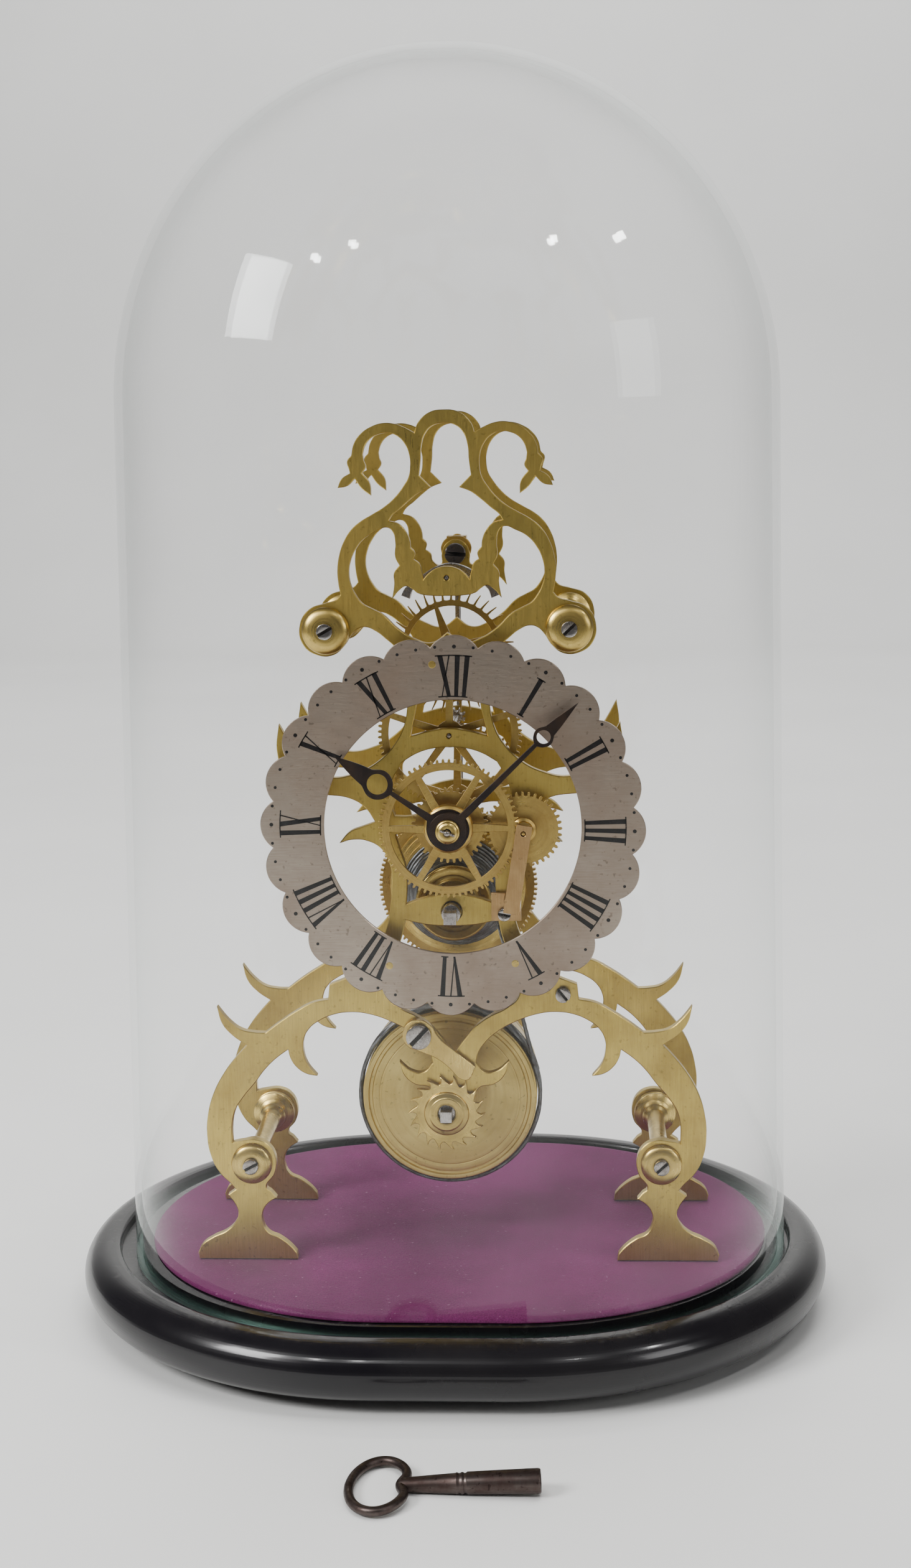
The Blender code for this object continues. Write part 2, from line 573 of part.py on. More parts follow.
def fusee_radius(share):
    """Radius of the fusee's groove floor, from 0 at the small front end to 1 at the back."""
    return 11.6 + 2.0 * share + 8.6 * share ** 2


cone = [(fusee_radius(k / 4), fusee_long - 2.4 - (fusee_long - 4.4) * k / 4)
        for k in range(5)]
fusee = turned([(3.6, fusee_long), (8.0, fusee_long), (8.6, fusee_long - 0.6),
                (9.4, fusee_long - 0.6), (10.0, fusee_long), (13.2, fusee_long),
                (13.2, fusee_long - 2.2), *cone, (24.4, 1.8), (24.4, 0.0), (3.6, 0.0)],
               18, ring=True)
add_to(fusee, "fusee", "turned_brass")
face_on(fusee, 0, FUSEE_BACK, FUSEE_Z)

ROPE = 0.75
line_turns = 6
ridges = []
floor = []
for k in range(line_turns):
    share = 0.10 + 0.86 * (k + 0.5) / line_turns
    height = fusee_long - 2.4 - (fusee_long - 4.4) * share
    ridges += [(fusee_radius(share) + GAP + 2.4 * ROPE, height),
               (fusee_radius(share) + GAP + 1.3 * ROPE, height - 1.9)]
    floor.append((fusee_radius(share) + GAP + 0.25, height))
wound = turned([(floor[0][0], floor[0][1] + 1.2), *ridges,
                (floor[-1][0] + 1.2, floor[-1][1] - 1.9), floor[-2], floor[-4]],
               18, ring=True)
add_to(wound, "line_on_fusee", "line_grey")
face_on(wound, 0, FUSEE_BACK, FUSEE_Z)

great_wheel = flat([wheel_edge(GREAT_TEETH, great_r, great_m, UP),
                    circle(0, 0, 3.6, 16)], 2.4, -1.2)
add_to(great_wheel, "great_wheel", "wheel_brass")
face_on(great_wheel, 0, Y_GREAT, FUSEE_Z)

fusee_shaft = turned(rod((3.2, 5.0), (3.2, -50.0), (1.6, -50.0), (1.6, -62.6)), 14)
winding_square = box(0, 0, 8.1, 4.2, 4.2, 8.4)
fusee_arbor = joined(fusee_shaft, winding_square)
add_to(fusee_arbor, "fusee_arbor", "steel")
face_on(fusee_arbor, 0, 0, FUSEE_Z)

# centre arbor, its wheel, the cannon wheel and the minute hand
centre_shaft = rod((1.0, 20.6), (1.0, 15.1), (1.4, 15.1), (1.4, -58.0), (1.0, -58.0),
                   (1.0, -63.0))
centre_arbor = arbor(centre_shaft, pinion_edge(CENTRE_PINION, centre_pinion_r, great_m,
                                               DOWN + pi / CENTRE_PINION), 42.0, 48.0)
pin = turned(rod((0.45, 2.6), (0.45, -2.6)), 8)
pin.rotation_euler = (0, pi / 2, radians(-20))
pin.location = (0, 0, 19.4 * MM)
centre_arbor = joined(centre_arbor, pin)
add_to(centre_arbor, "centre_arbor", "steel")
face_on(centre_arbor, 0, 0, 0)

centre_wheel = flat([wheel_edge(CENTRE_TEETH, centre_r, centre_m, UP),
                     *windows(5, 5.0, centre_r - 3.4, 2.4, 2.4, UP),
                     circle(0, 0, 1.7, 10)], 1.5, -0.75)
add_to(centre_wheel, "centre_wheel", "wheel_brass")
face_on(centre_wheel, 0, Y_CENTRE, 0)

cannon_disc = flat([wheel_edge(CANNON_TEETH, cannon_r, minute_m, motion_turn),
                    circle(0, 0, 1.8, 10)], 1.2, 3.4)
cannon_pipe = turned([(2.7, 15.2), (2.7, 3.0), (1.8, 3.0), (1.8, 15.2)], 12, ring=True)
cannon = joined(cannon_disc, cannon_pipe)
add_to(cannon, "cannon_wheel", "wheel_brass")
face_on(cannon, 0, 0, 0)


def hand(hub, bore, ring_at, ring_outer, ring_inner, length, thick, back):
    """A hand pointing up: a hub, a slender stem, a round eye and a lance tip, cut through."""
    swell = ring_outer * 0.62
    half = [(0, length, 1), (swell * 0.75, ring_at + ring_outer + 3.6, 0),
            (swell, ring_at + ring_outer * 0.82, 1),
            (ring_outer, ring_at, 0), (ring_outer * 0.72, ring_at - ring_outer * 0.72, 0),
            (0.7, ring_at - ring_outer - 0.4, 1), (1.25, hub + 0.6, 1),
            (hub * 0.72, hub * 0.72, 0), (hub, 0, 0), (hub * 0.72, -hub * 0.72, 0),
            (0, -hub, 0)]
    return flat([mirrored(half), circle(0, ring_at, ring_inner, 14),
                 circle(0, 0, bore, 14)], thick, back)


minute_hand = hand(6.2, 1.3, 44.8, 3.4, 2.3, 61.0, 0.8, 15.4)
add_to(minute_hand, "minute_hand", "black_steel")
face_on(minute_hand, 0, 0, 0, MINUTE_HAND_TURN)

hand_collet = turned([(1.3, 18.7), (2.6, 18.6), (3.4, 18.0), (3.5, 17.6), (4.1, 17.2),
                      (4.1, 16.5), (1.3, 16.5)], 14, ring=True)
add_to(hand_collet, "hand_collet", "turned_brass")
face_on(hand_collet, 0, 0, 0)

# hour wheel and hand
hour_disc = flat([wheel_edge(HOUR_TEETH, hour_r, hour_m, motion_turn + pi / HOUR_TEETH),
                  *windows(6, 6.6, hour_r - 3.4, 2.2, 2.0, 0.0), circle(0, 0, 3.1, 14)],
                 1.2, 9.6)
hour_pipe = turned([(4.0, 12.6), (4.0, 11.4), (6.4, 11.4), (6.4, 9.2), (3.9, 7.0),
                    (3.1, 7.0), (3.1, 12.6)], 14, ring=True)
hour_wheel = joined(hour_disc, hour_pipe)
add_to(hour_wheel, "hour_wheel", "wheel_brass")
face_on(hour_wheel, 0, 0, 0)
hour_hand = hand(7.0, 3.2, 28.0, 5.1, 3.5, 45.0, 0.8, 12.9)
add_to(hour_hand, "hour_hand", "black_steel")
face_on(hour_hand, 0, 0, 0, HOUR_HAND_TURN)

# minute wheel with its pinion, its cock and the bush behind the cannon wheel
minute_disc = flat([wheel_edge(MINUTE_TEETH, minute_r, minute_m,
                               motion_turn + pi + pi / MINUTE_TEETH)], 1.2, 3.4)
minute_hub = turned(rod((0.65, 12.2), (0.65, 11.0), (1.15, 11.0), (1.15, 7.4), (3.0, 7.0),
                        (4.2, 5.4), (4.2, 3.0), (0.7, 3.0), (0.7, 0.5)), 14)
minute_leaves = flat([pinion_edge(MINUTE_PINION, minute_pinion_r, hour_m, motion_turn + pi)],
                     3.7, 7.3)
minute_wheel = joined(minute_disc, minute_hub, minute_leaves)
add_to(minute_wheel, "minute_wheel", "wheel_brass")
face_on(minute_wheel, MINUTE_WHEEL[0], 0, MINUTE_WHEEL[1])

bush = turned([(2.2, 2.6), (4.6, 2.6), (6.6, 2.0), (7.6, 1.2), (8.0, 0.3), (2.2, 0.3)], 16,
              ring=True)
add_to(bush, "centre_bush", "turned_brass")
face_on(bush, 0, 0, 0)

cock_foot = box(18.6, -28.6, 1.3, 10.0, 9.6, 2.0)
cock_riser = box(20.9, -26.0, 7.0, 5.4, 4.0, 11.0)
bar_turn = atan2(MINUTE_WHEEL[1] + 26.0, MINUTE_WHEEL[0] - 20.9)
bar_long = hypot(MINUTE_WHEEL[1] + 26.0, MINUTE_WHEEL[0] - 20.9)
cock_bar = box(0, 0, 12.0, bar_long + 5.6, 5.2, 1.2)
cock_bar.data.transform(Matrix.Translation(
    ((MINUTE_WHEEL[0] + 20.9) / 2 * MM, (MINUTE_WHEEL[1] - 26.0) / 2 * MM, 0)
) @ Matrix.Rotation(bar_turn, 4, "Z"))
cock = joined(cock_foot, cock_riser, cock_bar)
for cx, cy, bore in ((*COCK_SCREW, 1.1), (*MINUTE_WHEEL, 0.95)):
    drill = turned(rod((bore, 20.0), (bore, -2.0)), 12)
    drill.location = (cx * MM, cy * MM, 0)
    cut(cock, baked(drill))
cock_cutters = [mod.object for mod in cock.modifiers]
cock = baked(cock)
for drill in cock_cutters:
    bpy.data.objects.remove(drill, do_unlink=True)
add_to(cock, "minute_wheel_cock", "wheel_brass")
face_on(cock, 0, 0, 0)
slotted_screw("cock_screw", COCK_SCREW[0], -2.6, COCK_SCREW[1], 2.2, 1.5, 0.8, 5.6, 0.2)

# third wheel
third_shaft = rod((0.65, -0.4), (0.65, -3.8), (1.3, -3.8), (1.3, -59.6), (0.65, -59.6),
                  (0.65, -63.2))
third_arbor = arbor(third_shaft, pinion_edge(THIRD_PINION, third_pinion_r, centre_m,
                                             DOWN + pi / THIRD_PINION), 48.0, 54.0)
add_to(third_arbor, "third_arbor", "steel")
face_on(third_arbor, 0, 0, THIRD_Z)
third_wheel = flat([wheel_edge(THIRD_TEETH, third_r, third_m, UP),
                    *windows(5, 4.6, third_r - 3.2, 2.2, 2.2, UP),
                    circle(0, 0, 1.6, 10)], 1.3, -0.65)
add_to(third_wheel, "third_wheel", "wheel_brass")
face_on(third_wheel, 0, Y_THIRD, THIRD_Z)

# escape wheel
escape_shaft = rod((0.65, -0.4), (0.65, -3.8), (1.2, -3.8), (1.2, -59.6), (0.65, -59.6),
                   (0.65, -63.2))
escape_arbor = arbor(escape_shaft, pinion_edge(ESCAPE_PINION, escape_pinion_r, third_m,
                                               DOWN + pi / ESCAPE_PINION), 4.2, 9.0)
add_to(escape_arbor, "escape_arbor", "steel")
face_on(escape_arbor, 0, 0, ESCAPE_Z)
escape_wheel = flat([teeth(ESCAPE_TEETH, 17.4, 21.6, 0.26, UP, lean=-0.30),
                     *windows(4, 4.0, 15.6, 3.4, 1.5, radians(18.8)),
                     circle(0, 0, 1.5, 10)], 1.2, -0.6)
add_to(escape_wheel, "escape_wheel", "wheel_brass")
face_on(escape_wheel, 0, Y_ESCAPE, ESCAPE_Z)

# pallets, crutch and pendulum
anchor_half = [(0, 3.4, 0), (4.6, 2.4, 0), (10.6, -1.2, 0), (15.4, -4.6, 0),
               (17.0, -7.4, 1), (14.0, -8.6, 1), (12.6, -5.2, 0), (7.4, -2.4, 0),
               (0, -3.4, 0)]
anchor = flat([mirrored(anchor_half), circle(0, 0, 1.25, 10)], 4.4, -2.2)
add_to(anchor, "pallet_anchor", "steel")
face_on(anchor, 0, Y_ESCAPE, PALLET_Z)

pallet_shaft = turned(rod((0.6, -0.4), (0.6, -3.8), (0.95, -3.8), (0.95, -50.0),
                          (0.7, -50.0), (0.7, -67.6)), 10)
crutch_hub = turned(rod((2.4, -64.2), (2.4, -67.2)), 12)
crutch_long = 46.0
crutch_stem = box(0, -crutch_long / 2, -66.0, 1.5, crutch_long, 1.2)
crutch_fork = box(0, -crutch_long, -69.0, 5.4, 2.4, 7.2)
fork_slot = box(0, -crutch_long, -70.6, 3.4, 6.0, 7.2)
cut(crutch_fork, fork_slot)
crutch_fork_cut = baked(crutch_fork)
bpy.data.objects.remove(fork_slot, do_unlink=True)
crutch = joined(pallet_shaft, crutch_hub, crutch_stem, crutch_fork_cut)
add_to(crutch, "crutch_arbor", "steel")
face_on(crutch, 0, 0, PALLET_Z)

SUSPENSION_Z = 86.6
Y_PENDULUM = 70.4
BOB_Z = -92.0
BOB_RADIUS = 22.0
cock_plate = box(0, 89.4, -65.1, 11.0, 8.0, 2.6)
cock_arm = box(0, 91.2, -69.8, 7.0, 4.4, 10.0)
suspension_cock = joined(cock_plate, cock_arm)
add_to(suspension_cock, "suspension_cock", "wheel_brass")
face_on(suspension_cock, 0, 0, 0)
slotted_screw("suspension_screw", 0, PLATE_PITCH - GAP, SUSPENSION_SCREW_Z, 3.7, 5.0, 1.2,
              PLATE_THICK, 0.1, "dark_steel")
spring_strip = box(0, (88.7 + 77.6) / 2, -Y_PENDULUM, 3.2, 88.7 - 77.6, 0.5)
add_to(spring_strip, "suspension_spring", "steel")
face_on(spring_strip, 0, 0, 0)

pendulum_top = box(0, 75.4, -Y_PENDULUM, 4.0, 3.8, 2.6)
pendulum_stem = turned(rod((1.0, 73.6), (1.0, -122.0)), 12)
pendulum_stem.rotation_euler = (-pi / 2, 0, 0)
pendulum_stem.location = (0, 0, -Y_PENDULUM * MM)
pendulum_rod = joined(pendulum_top, pendulum_stem)
add_to(pendulum_rod, "pendulum_rod", "steel")
face_on(pendulum_rod, 0, 0, 0)

bob = turned([(0, 4.6), (8.0, 4.2), (16.0, 2.6), (BOB_RADIUS, 0.5), (BOB_RADIUS, -0.5),
              (16.0, -2.6), (8.0, -4.2), (0, -4.6)], 20)
bob_bore = turned(rod((1.35, 30.0), (1.35, -30.0)), 12)
bob_bore.rotation_euler = (-pi / 2, 0, 0)
cut(bob, bob_bore)
bob = baked(bob)
bpy.data.objects.remove(bob_bore, do_unlink=True)
add_to(bob, "pendulum_bob", "turned_brass")
face_on(bob, 0, Y_PENDULUM, BOB_Z)
nut = turned([(3.6, 1.3), (4.2, 0.7), (4.2, -0.7), (3.6, -1.3), (1.3, -1.3), (1.3, 1.3)],
             16, ring=True)
add_to(nut, "rating_nut", "turned_brass")
nut.location = world(0, Y_PENDULUM, BOB_Z - BOB_RADIUS - 1.7)

# ------------------------------------------------------------ going barrel, ratchet and click
barrel_deep = Y_BARREL_BACK - Y_BARREL_FRONT
BARREL_RADIUS = 30.8
drum = turned([(BARREL_RADIUS, barrel_deep - 1.6), (BARREL_RADIUS, 0.0), (3.3, 0.0),
               (3.3, 1.8), (BARREL_RADIUS - 1.5, 1.8), (BARREL_RADIUS - 1.5, barrel_deep - 1.6)],
              32, ring=True)
add_to(drum, "barrel_drum", "barrel_brass")
face_on(drum, BARREL[0], Y_BARREL_BACK, BARREL[1])
cap = turned([(3.3, barrel_deep), (27.4, barrel_deep), (28.0, barrel_deep - 0.5),
              (28.6, barrel_deep), (30.3, barrel_deep), (30.3, barrel_deep - 1.3),
              (3.3, barrel_deep - 1.3)], 32, ring=True)
add_to(cap, "barrel_cap", "barrel_brass")
face_on(cap, BARREL[0], Y_BARREL_BACK, BARREL[1])

coils = 4
spiral_out = []
spiral_in = []
for k in range(coils * 12 + 1):
    at = 2 * pi * k / 12
    run = k / (coils * 12)
    reach = 12.0 + 16.4 * run
    spiral_out.append(((reach + 0.7) * cos(at), (reach + 0.7) * sin(at)))
    spiral_in.append(((reach - 0.7) * cos(at), (reach - 0.7) * sin(at)))
mainspring = flat([spiral_out + spiral_in[::-1]], barrel_deep - 5.0, 2.4)
add_to(mainspring, "mainspring", "dark_steel")
face_on(mainspring, BARREL[0], Y_BARREL_BACK, BARREL[1])

coil_turns = 2
coil_front = barrel_deep - 2.2
coil = [(BARREL_RADIUS + GAP, coil_front)]
for k in range(coil_turns):
    coil += [(BARREL_RADIUS + GAP + 1.5, coil_front - 0.75 - 1.6 * k),
             (BARREL_RADIUS + GAP + 0.8, coil_front - 1.6 - 1.6 * k)]
coil.append((BARREL_RADIUS + GAP, coil_front - 1.6 * coil_turns))
wound_barrel = turned(coil, 32, ring=True)
add_to(wound_barrel, "line_on_barrel", "line_grey")
face_on(wound_barrel, BARREL[0], Y_BARREL_BACK, BARREL[1])

# the straight run of line, tangent to both coils on the right
line_r1 = fusee_radius(0.13) + GAP + 2.4 * ROPE + GAP + ROPE
line_r2 = BARREL_RADIUS + GAP + 1.5 + GAP + ROPE
line_span = hypot(BARREL[0], FUSEE_Z - BARREL[1])
line_lean = atan2(FUSEE_Z - BARREL[1], -BARREL[0]) - acos((line_r2 - line_r1) / line_span)
line_top = (line_r1 * cos(line_lean), FUSEE_FRONT + 5.2, FUSEE_Z + line_r1 * sin(line_lean))
line_foot = (BARREL[0] + line_r2 * cos(line_lean), Y_BARREL_FRONT + 4.0,
             BARREL[1] + line_r2 * sin(line_lean))
line_path = bpy.data.curves.new("line_run", "CURVE")
line_path.dimensions = "3D"
line_path.bevel_depth = ROPE * MM
line_path.bevel_resolution = 2
line_path.use_fill_caps = True
strand = line_path.splines.new("POLY")
strand.points.add(1)
for knot, at in zip(strand.points, (line_top, line_foot)):
    knot.co = (*world(*at), 1.0)
line_run = bpy.data.objects.new("line_run", line_path)
PARTS.objects.link(line_run)
line_run = baked(line_run)
add_to(line_run, "line_run", "line_grey")

barrel_shaft = turned(rod((2.9, 1.8), (2.9, -54.0), (2.1, -54.0), (2.1, -62.8)), 14)
barrel_square = box(0, 0, 3.6, 3.9, 3.9, 6.8)
barrel_arbor = joined(barrel_shaft, barrel_square)
add_to(barrel_arbor, "barrel_arbor", "steel")
face_on(barrel_arbor, BARREL[0], 0, BARREL[1])

ratchet_loop = []
for k in range(RATCHET_TEETH):
    at = 2 * pi * k / RATCHET_TEETH
    step = 2 * pi / RATCHET_TEETH
    ratchet_loop += [(13.3 * cos(at), 13.3 * sin(at)),
                     (10.4 * cos(at + 0.22 * step), 10.4 * sin(at + 0.22 * step)),
                     (11.4 * cos(at + 0.62 * step), 11.4 * sin(at + 0.62 * step))]
ratchet_disc = flat([ratchet_loop, circle(0, 0, 3.3, 14)], 1.9, 0.4)
ratchet_hub = turned([(3.3, 3.6), (5.6, 3.6), (7.6, 2.9), (8.0, 2.0), (8.0, 0.4), (3.3, 0.4)],
                     14, ring=True)
ratchet = joined(ratchet_disc, ratchet_hub)
add_to(ratchet, "barrel_ratchet", "wheel_brass")
face_on(ratchet, BARREL[0], 0, BARREL[1])

click_edge = [(-5.6, 0.6, 0), (-3.6, 4.4, 0), (0.4, 5.7, 0), (4.2, 3.6, 0), (6.6, -0.4, 0),
              (12.6, -5.6, 0), (19.2, -11.0, 1), (16.9, -15.4, 0), (15.6, -15.8, 1),
              (13.4, -15.0, 1), (9.6, -10.8, 0), (5.6, -7.8, 0), (0.4, -5.6, 0),
              (-4.0, -3.6, 0)]
click = flat([click_edge, circle(0, 0, 1.6, 12)], 2.2, GAP)
add_to(click, "click", "plate_brass")
face_on(click, CLICK_PIVOT[0], 0, CLICK_PIVOT[1])
slotted_screw("click_screw", CLICK_PIVOT[0], -2.8, CLICK_PIVOT[1], 4.3, 2.0, 1.2, 6.0, -1.0)

# ------------------------------------------------------------ winding key on the table
KEY_AT = (-17.7, -117.5)
KEY_TURN = radians(-1.0)
KEY_TILT = radians(-3.0)   # the thin bow lies lower than the pipe's collar
KEY_REST = 2.03            # the bow's centre above the table
BOW_TUBE = 1.5
key_bow = bpy.data.curves.new("key_bow", "CURVE")
key_bow.dimensions = "3D"
key_bow.bevel_depth = BOW_TUBE * MM
key_bow.bevel_resolution = 2
bow = key_bow.splines.new("POLY")
bow.points.add(21)
for k, knot in enumerate(bow.points):
    at = 2 * pi * k / 22
    across = 15.8 * sin(at)
    pinch = 2.6 * 2.718 ** (-(across / 4.5) ** 2) if cos(at) > 0 else 0.0
    knot.co = ((9.0 * cos(at) - pinch) * MM, across * MM, 0.0, 1.0)
bow.use_cyclic_u = True
key_ring = bpy.data.objects.new("key_bow", key_bow)
PARTS.objects.link(key_ring)
key_ring = baked(key_ring)
key_shank = turned([(0, 48.4), (3.5, 48.4), (3.7, 48.0), (3.3, 26.6), (2.9, 25.8), (3.2, 25.0),
                    (2.9, 24.2), (3.0, 23.2), (2.3, 10.0), (2.1, 6.6), (0, 5.6)], 12)
key_shank.rotation_euler = (0, pi / 2, 0)
key_socket = box(45.4, 0, 0, 14.0, 3.8, 3.8)
key = joined(key_ring, key_shank)
cut(key, key_socket)
key = baked(key)
bpy.data.objects.remove(key_socket, do_unlink=True)
add_to(key, "winding_key", "iron")
key.matrix_world = Matrix.Translation(
    ((KEY_AT[0] + CLOCK_RIGHT) * MM, (KEY_AT[1] - PLATE_FORWARD) * MM, KEY_REST * MM)
) @ Matrix.Rotation(KEY_TURN, 4, "Z") @ Matrix.Rotation(KEY_TILT, 4, "Y")

# ------------------------------------------------------------ turning axes
AXES = (("barrel_axis", BARREL[0], BARREL[1],
         ("barrel_drum", "barrel_cap", "mainspring", "line_on_barrel")),
        ("fusee_axis", 0, FUSEE_Z, ("fusee", "line_on_fusee", "great_wheel", "fusee_arbor")),
        ("centre_axis", 0, 0, ("centre_arbor", "centre_wheel", "cannon_wheel",
                               "minute_hand", "hand_collet")),
        ("hour_axis", 0, 0, ("hour_wheel", "hour_hand")),
        ("minute_axis", MINUTE_WHEEL[0], MINUTE_WHEEL[1], ("minute_wheel",)),
        ("third_axis", 0, THIRD_Z, ("third_arbor", "third_wheel")),
        ("escape_axis", 0, ESCAPE_Z, ("escape_arbor", "escape_wheel")),
        ("pallet_axis", 0, PALLET_Z, ("pallet_anchor", "crutch_arbor")),
        ("pendulum_axis", 0, SUSPENSION_Z, ("pendulum_rod", "pendulum_bob", "rating_nut")),
        ("click_axis", CLICK_PIVOT[0], CLICK_PIVOT[1], ("click",)))
for axis_name, axis_x, axis_z, carried in AXES:
    depth = Y_PENDULUM if axis_name == "pendulum_axis" else 0.0
    axis_empty = arbor_axis(axis_name, axis_x, axis_z, depth)
    hang_on(axis_empty, *[bpy.data.objects[part] for part in carried])
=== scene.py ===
"""Looks of a fusee skeleton timepiece on an oval base under a glass dome.

The movement is drawn face-on in millimetres: right, up and forward out of the dial, measured
from the centre arbor and the front plate's face.  Every place comes from the loaded frame.
"""
import json
from math import atan2, cos, hypot, pi, radians, sin

import bmesh
import bpy
import numpy as np
from bpy.props import FloatProperty, FloatVectorProperty, IntProperty, PointerProperty
from mathutils import Matrix, Vector


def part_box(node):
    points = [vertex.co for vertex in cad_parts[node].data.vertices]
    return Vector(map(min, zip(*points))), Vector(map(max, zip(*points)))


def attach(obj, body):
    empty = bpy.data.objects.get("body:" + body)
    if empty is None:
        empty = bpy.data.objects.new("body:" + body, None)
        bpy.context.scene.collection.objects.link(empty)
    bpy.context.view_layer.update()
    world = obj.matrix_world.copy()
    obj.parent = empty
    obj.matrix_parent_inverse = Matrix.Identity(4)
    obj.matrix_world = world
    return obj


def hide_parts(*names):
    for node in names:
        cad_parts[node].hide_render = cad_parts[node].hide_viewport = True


bl_info = {
    "name": "Skeleton Clock",
    "version": (1, 0, 0),
    "blender": (4, 5, 0),
    "location": "View3D > Sidebar > Clock",
    "description": "Finishes every piece of a fusee skeleton timepiece under its glass dome",
    "category": "Add Mesh",
}

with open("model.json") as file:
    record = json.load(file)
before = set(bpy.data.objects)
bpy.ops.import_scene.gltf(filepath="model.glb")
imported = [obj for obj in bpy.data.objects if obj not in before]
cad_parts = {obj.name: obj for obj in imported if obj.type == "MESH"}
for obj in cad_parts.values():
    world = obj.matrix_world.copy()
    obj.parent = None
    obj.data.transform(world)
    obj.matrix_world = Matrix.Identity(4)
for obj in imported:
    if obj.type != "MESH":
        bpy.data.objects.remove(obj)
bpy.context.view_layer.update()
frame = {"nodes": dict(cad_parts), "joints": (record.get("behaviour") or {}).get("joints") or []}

MM = 0.001
JOINTS = {joint["name"]: joint for joint in frame["joints"]}
CENTRE = Vector(JOINTS["centre_turn"]["pos_m"])
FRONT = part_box("front_plate")[0].y
UP = pi / 2
DOWN = -pi / 2


def axis_of(joint):
    """(right, up) of a turning axis in mm from the centre arbor."""
    place = JOINTS[joint]["pos_m"]
    return (place[0] - CENTRE.x) / MM, (place[2] - CENTRE.z) / MM


def ahead(node):
    """(back, front) of a CAD node in mm forward of the front plate's face."""
    low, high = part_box(node)
    return (FRONT - high.y) / MM, (FRONT - low.y) / MM


def middle(node):
    """(right, up) of the middle of a CAD node in mm from the centre arbor."""
    low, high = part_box(node)
    return ((low.x + high.x) / 2 - CENTRE.x) / MM, ((low.z + high.z) / 2 - CENTRE.z) / MM


FUSEE = axis_of("fusee_turn")
BARREL = axis_of("barrel_turn")
MINUTE = axis_of("minute_turn")
THIRD = axis_of("third_turn")
ESCAPE = axis_of("escape_turn")
PALLET = axis_of("pallet_rock")
PENDULUM = axis_of("pendulum_swing")
CLICK = axis_of("click_lift")


# ---------------------------------------------------------------- finishes
def once(make):
    """A finish is mixed once, and pieces that name it again share it."""
    def kept(name, *rest, **more):
        return bpy.data.materials.get(name) or make(name, *rest, **more)
    kept.__doc__ = make.__doc__
    return kept


def node(tree, kind, inputs=None, **settings):
    """A shader node with its settings, and its inputs set or linked."""
    made = tree.nodes.new("ShaderNode" + kind)
    for key, value in settings.items():
        setattr(made, key, value)
    for key, value in (inputs or {}).items():
        if isinstance(value, bpy.types.NodeSocket):
            tree.links.new(value, made.inputs[key])
        else:
            made.inputs[key].default_value = value
    return made


def new_finish(name, **sockets):
    """A Principled material, its tree, its shader and its Object coordinates."""
    mat = bpy.data.materials.new(name)
    mat.use_nodes = True
    tree = mat.node_tree
    shader = tree.nodes["Principled BSDF"]
    for key, value in sockets.items():
        shader.inputs[key.replace("_", " ")].default_value = value
    coords = node(tree, "TexCoord").outputs["Object"]
    return mat, tree, shader, coords


def noise(tree, at, scale, detail=3.0, roughness=0.55):
    return node(tree, "TexNoise", {"Vector": at, "Scale": scale, "Detail": detail,
                                   "Roughness": roughness}).outputs["Fac"]


def ranged(tree, value, low, high, to_low=0.0, to_high=1.0):
    return node(tree, "MapRange", {"Value": value, "From Min": low, "From Max": high,
                                   "To Min": to_low, "To Max": to_high}).outputs["Result"]


def mixed(tree, share, one, other):
    """A colour between two, each a colour or a socket."""
    mix = node(tree, "Mix", data_type="RGBA")
    for index, value in ((0, share), (6, one), (7, other)):
        if isinstance(value, bpy.types.NodeSocket):
            tree.links.new(value, mix.inputs[index])
        else:
            mix.inputs[index].default_value = (*value, 1.0) if index else value
    return mix.outputs[2]


def bumped(tree, shader, height, strength, distance):
    bump = node(tree, "Bump", {"Height": height, "Strength": strength, "Distance": distance})
    tree.links.new(bump.outputs["Normal"], shader.inputs["Normal"])


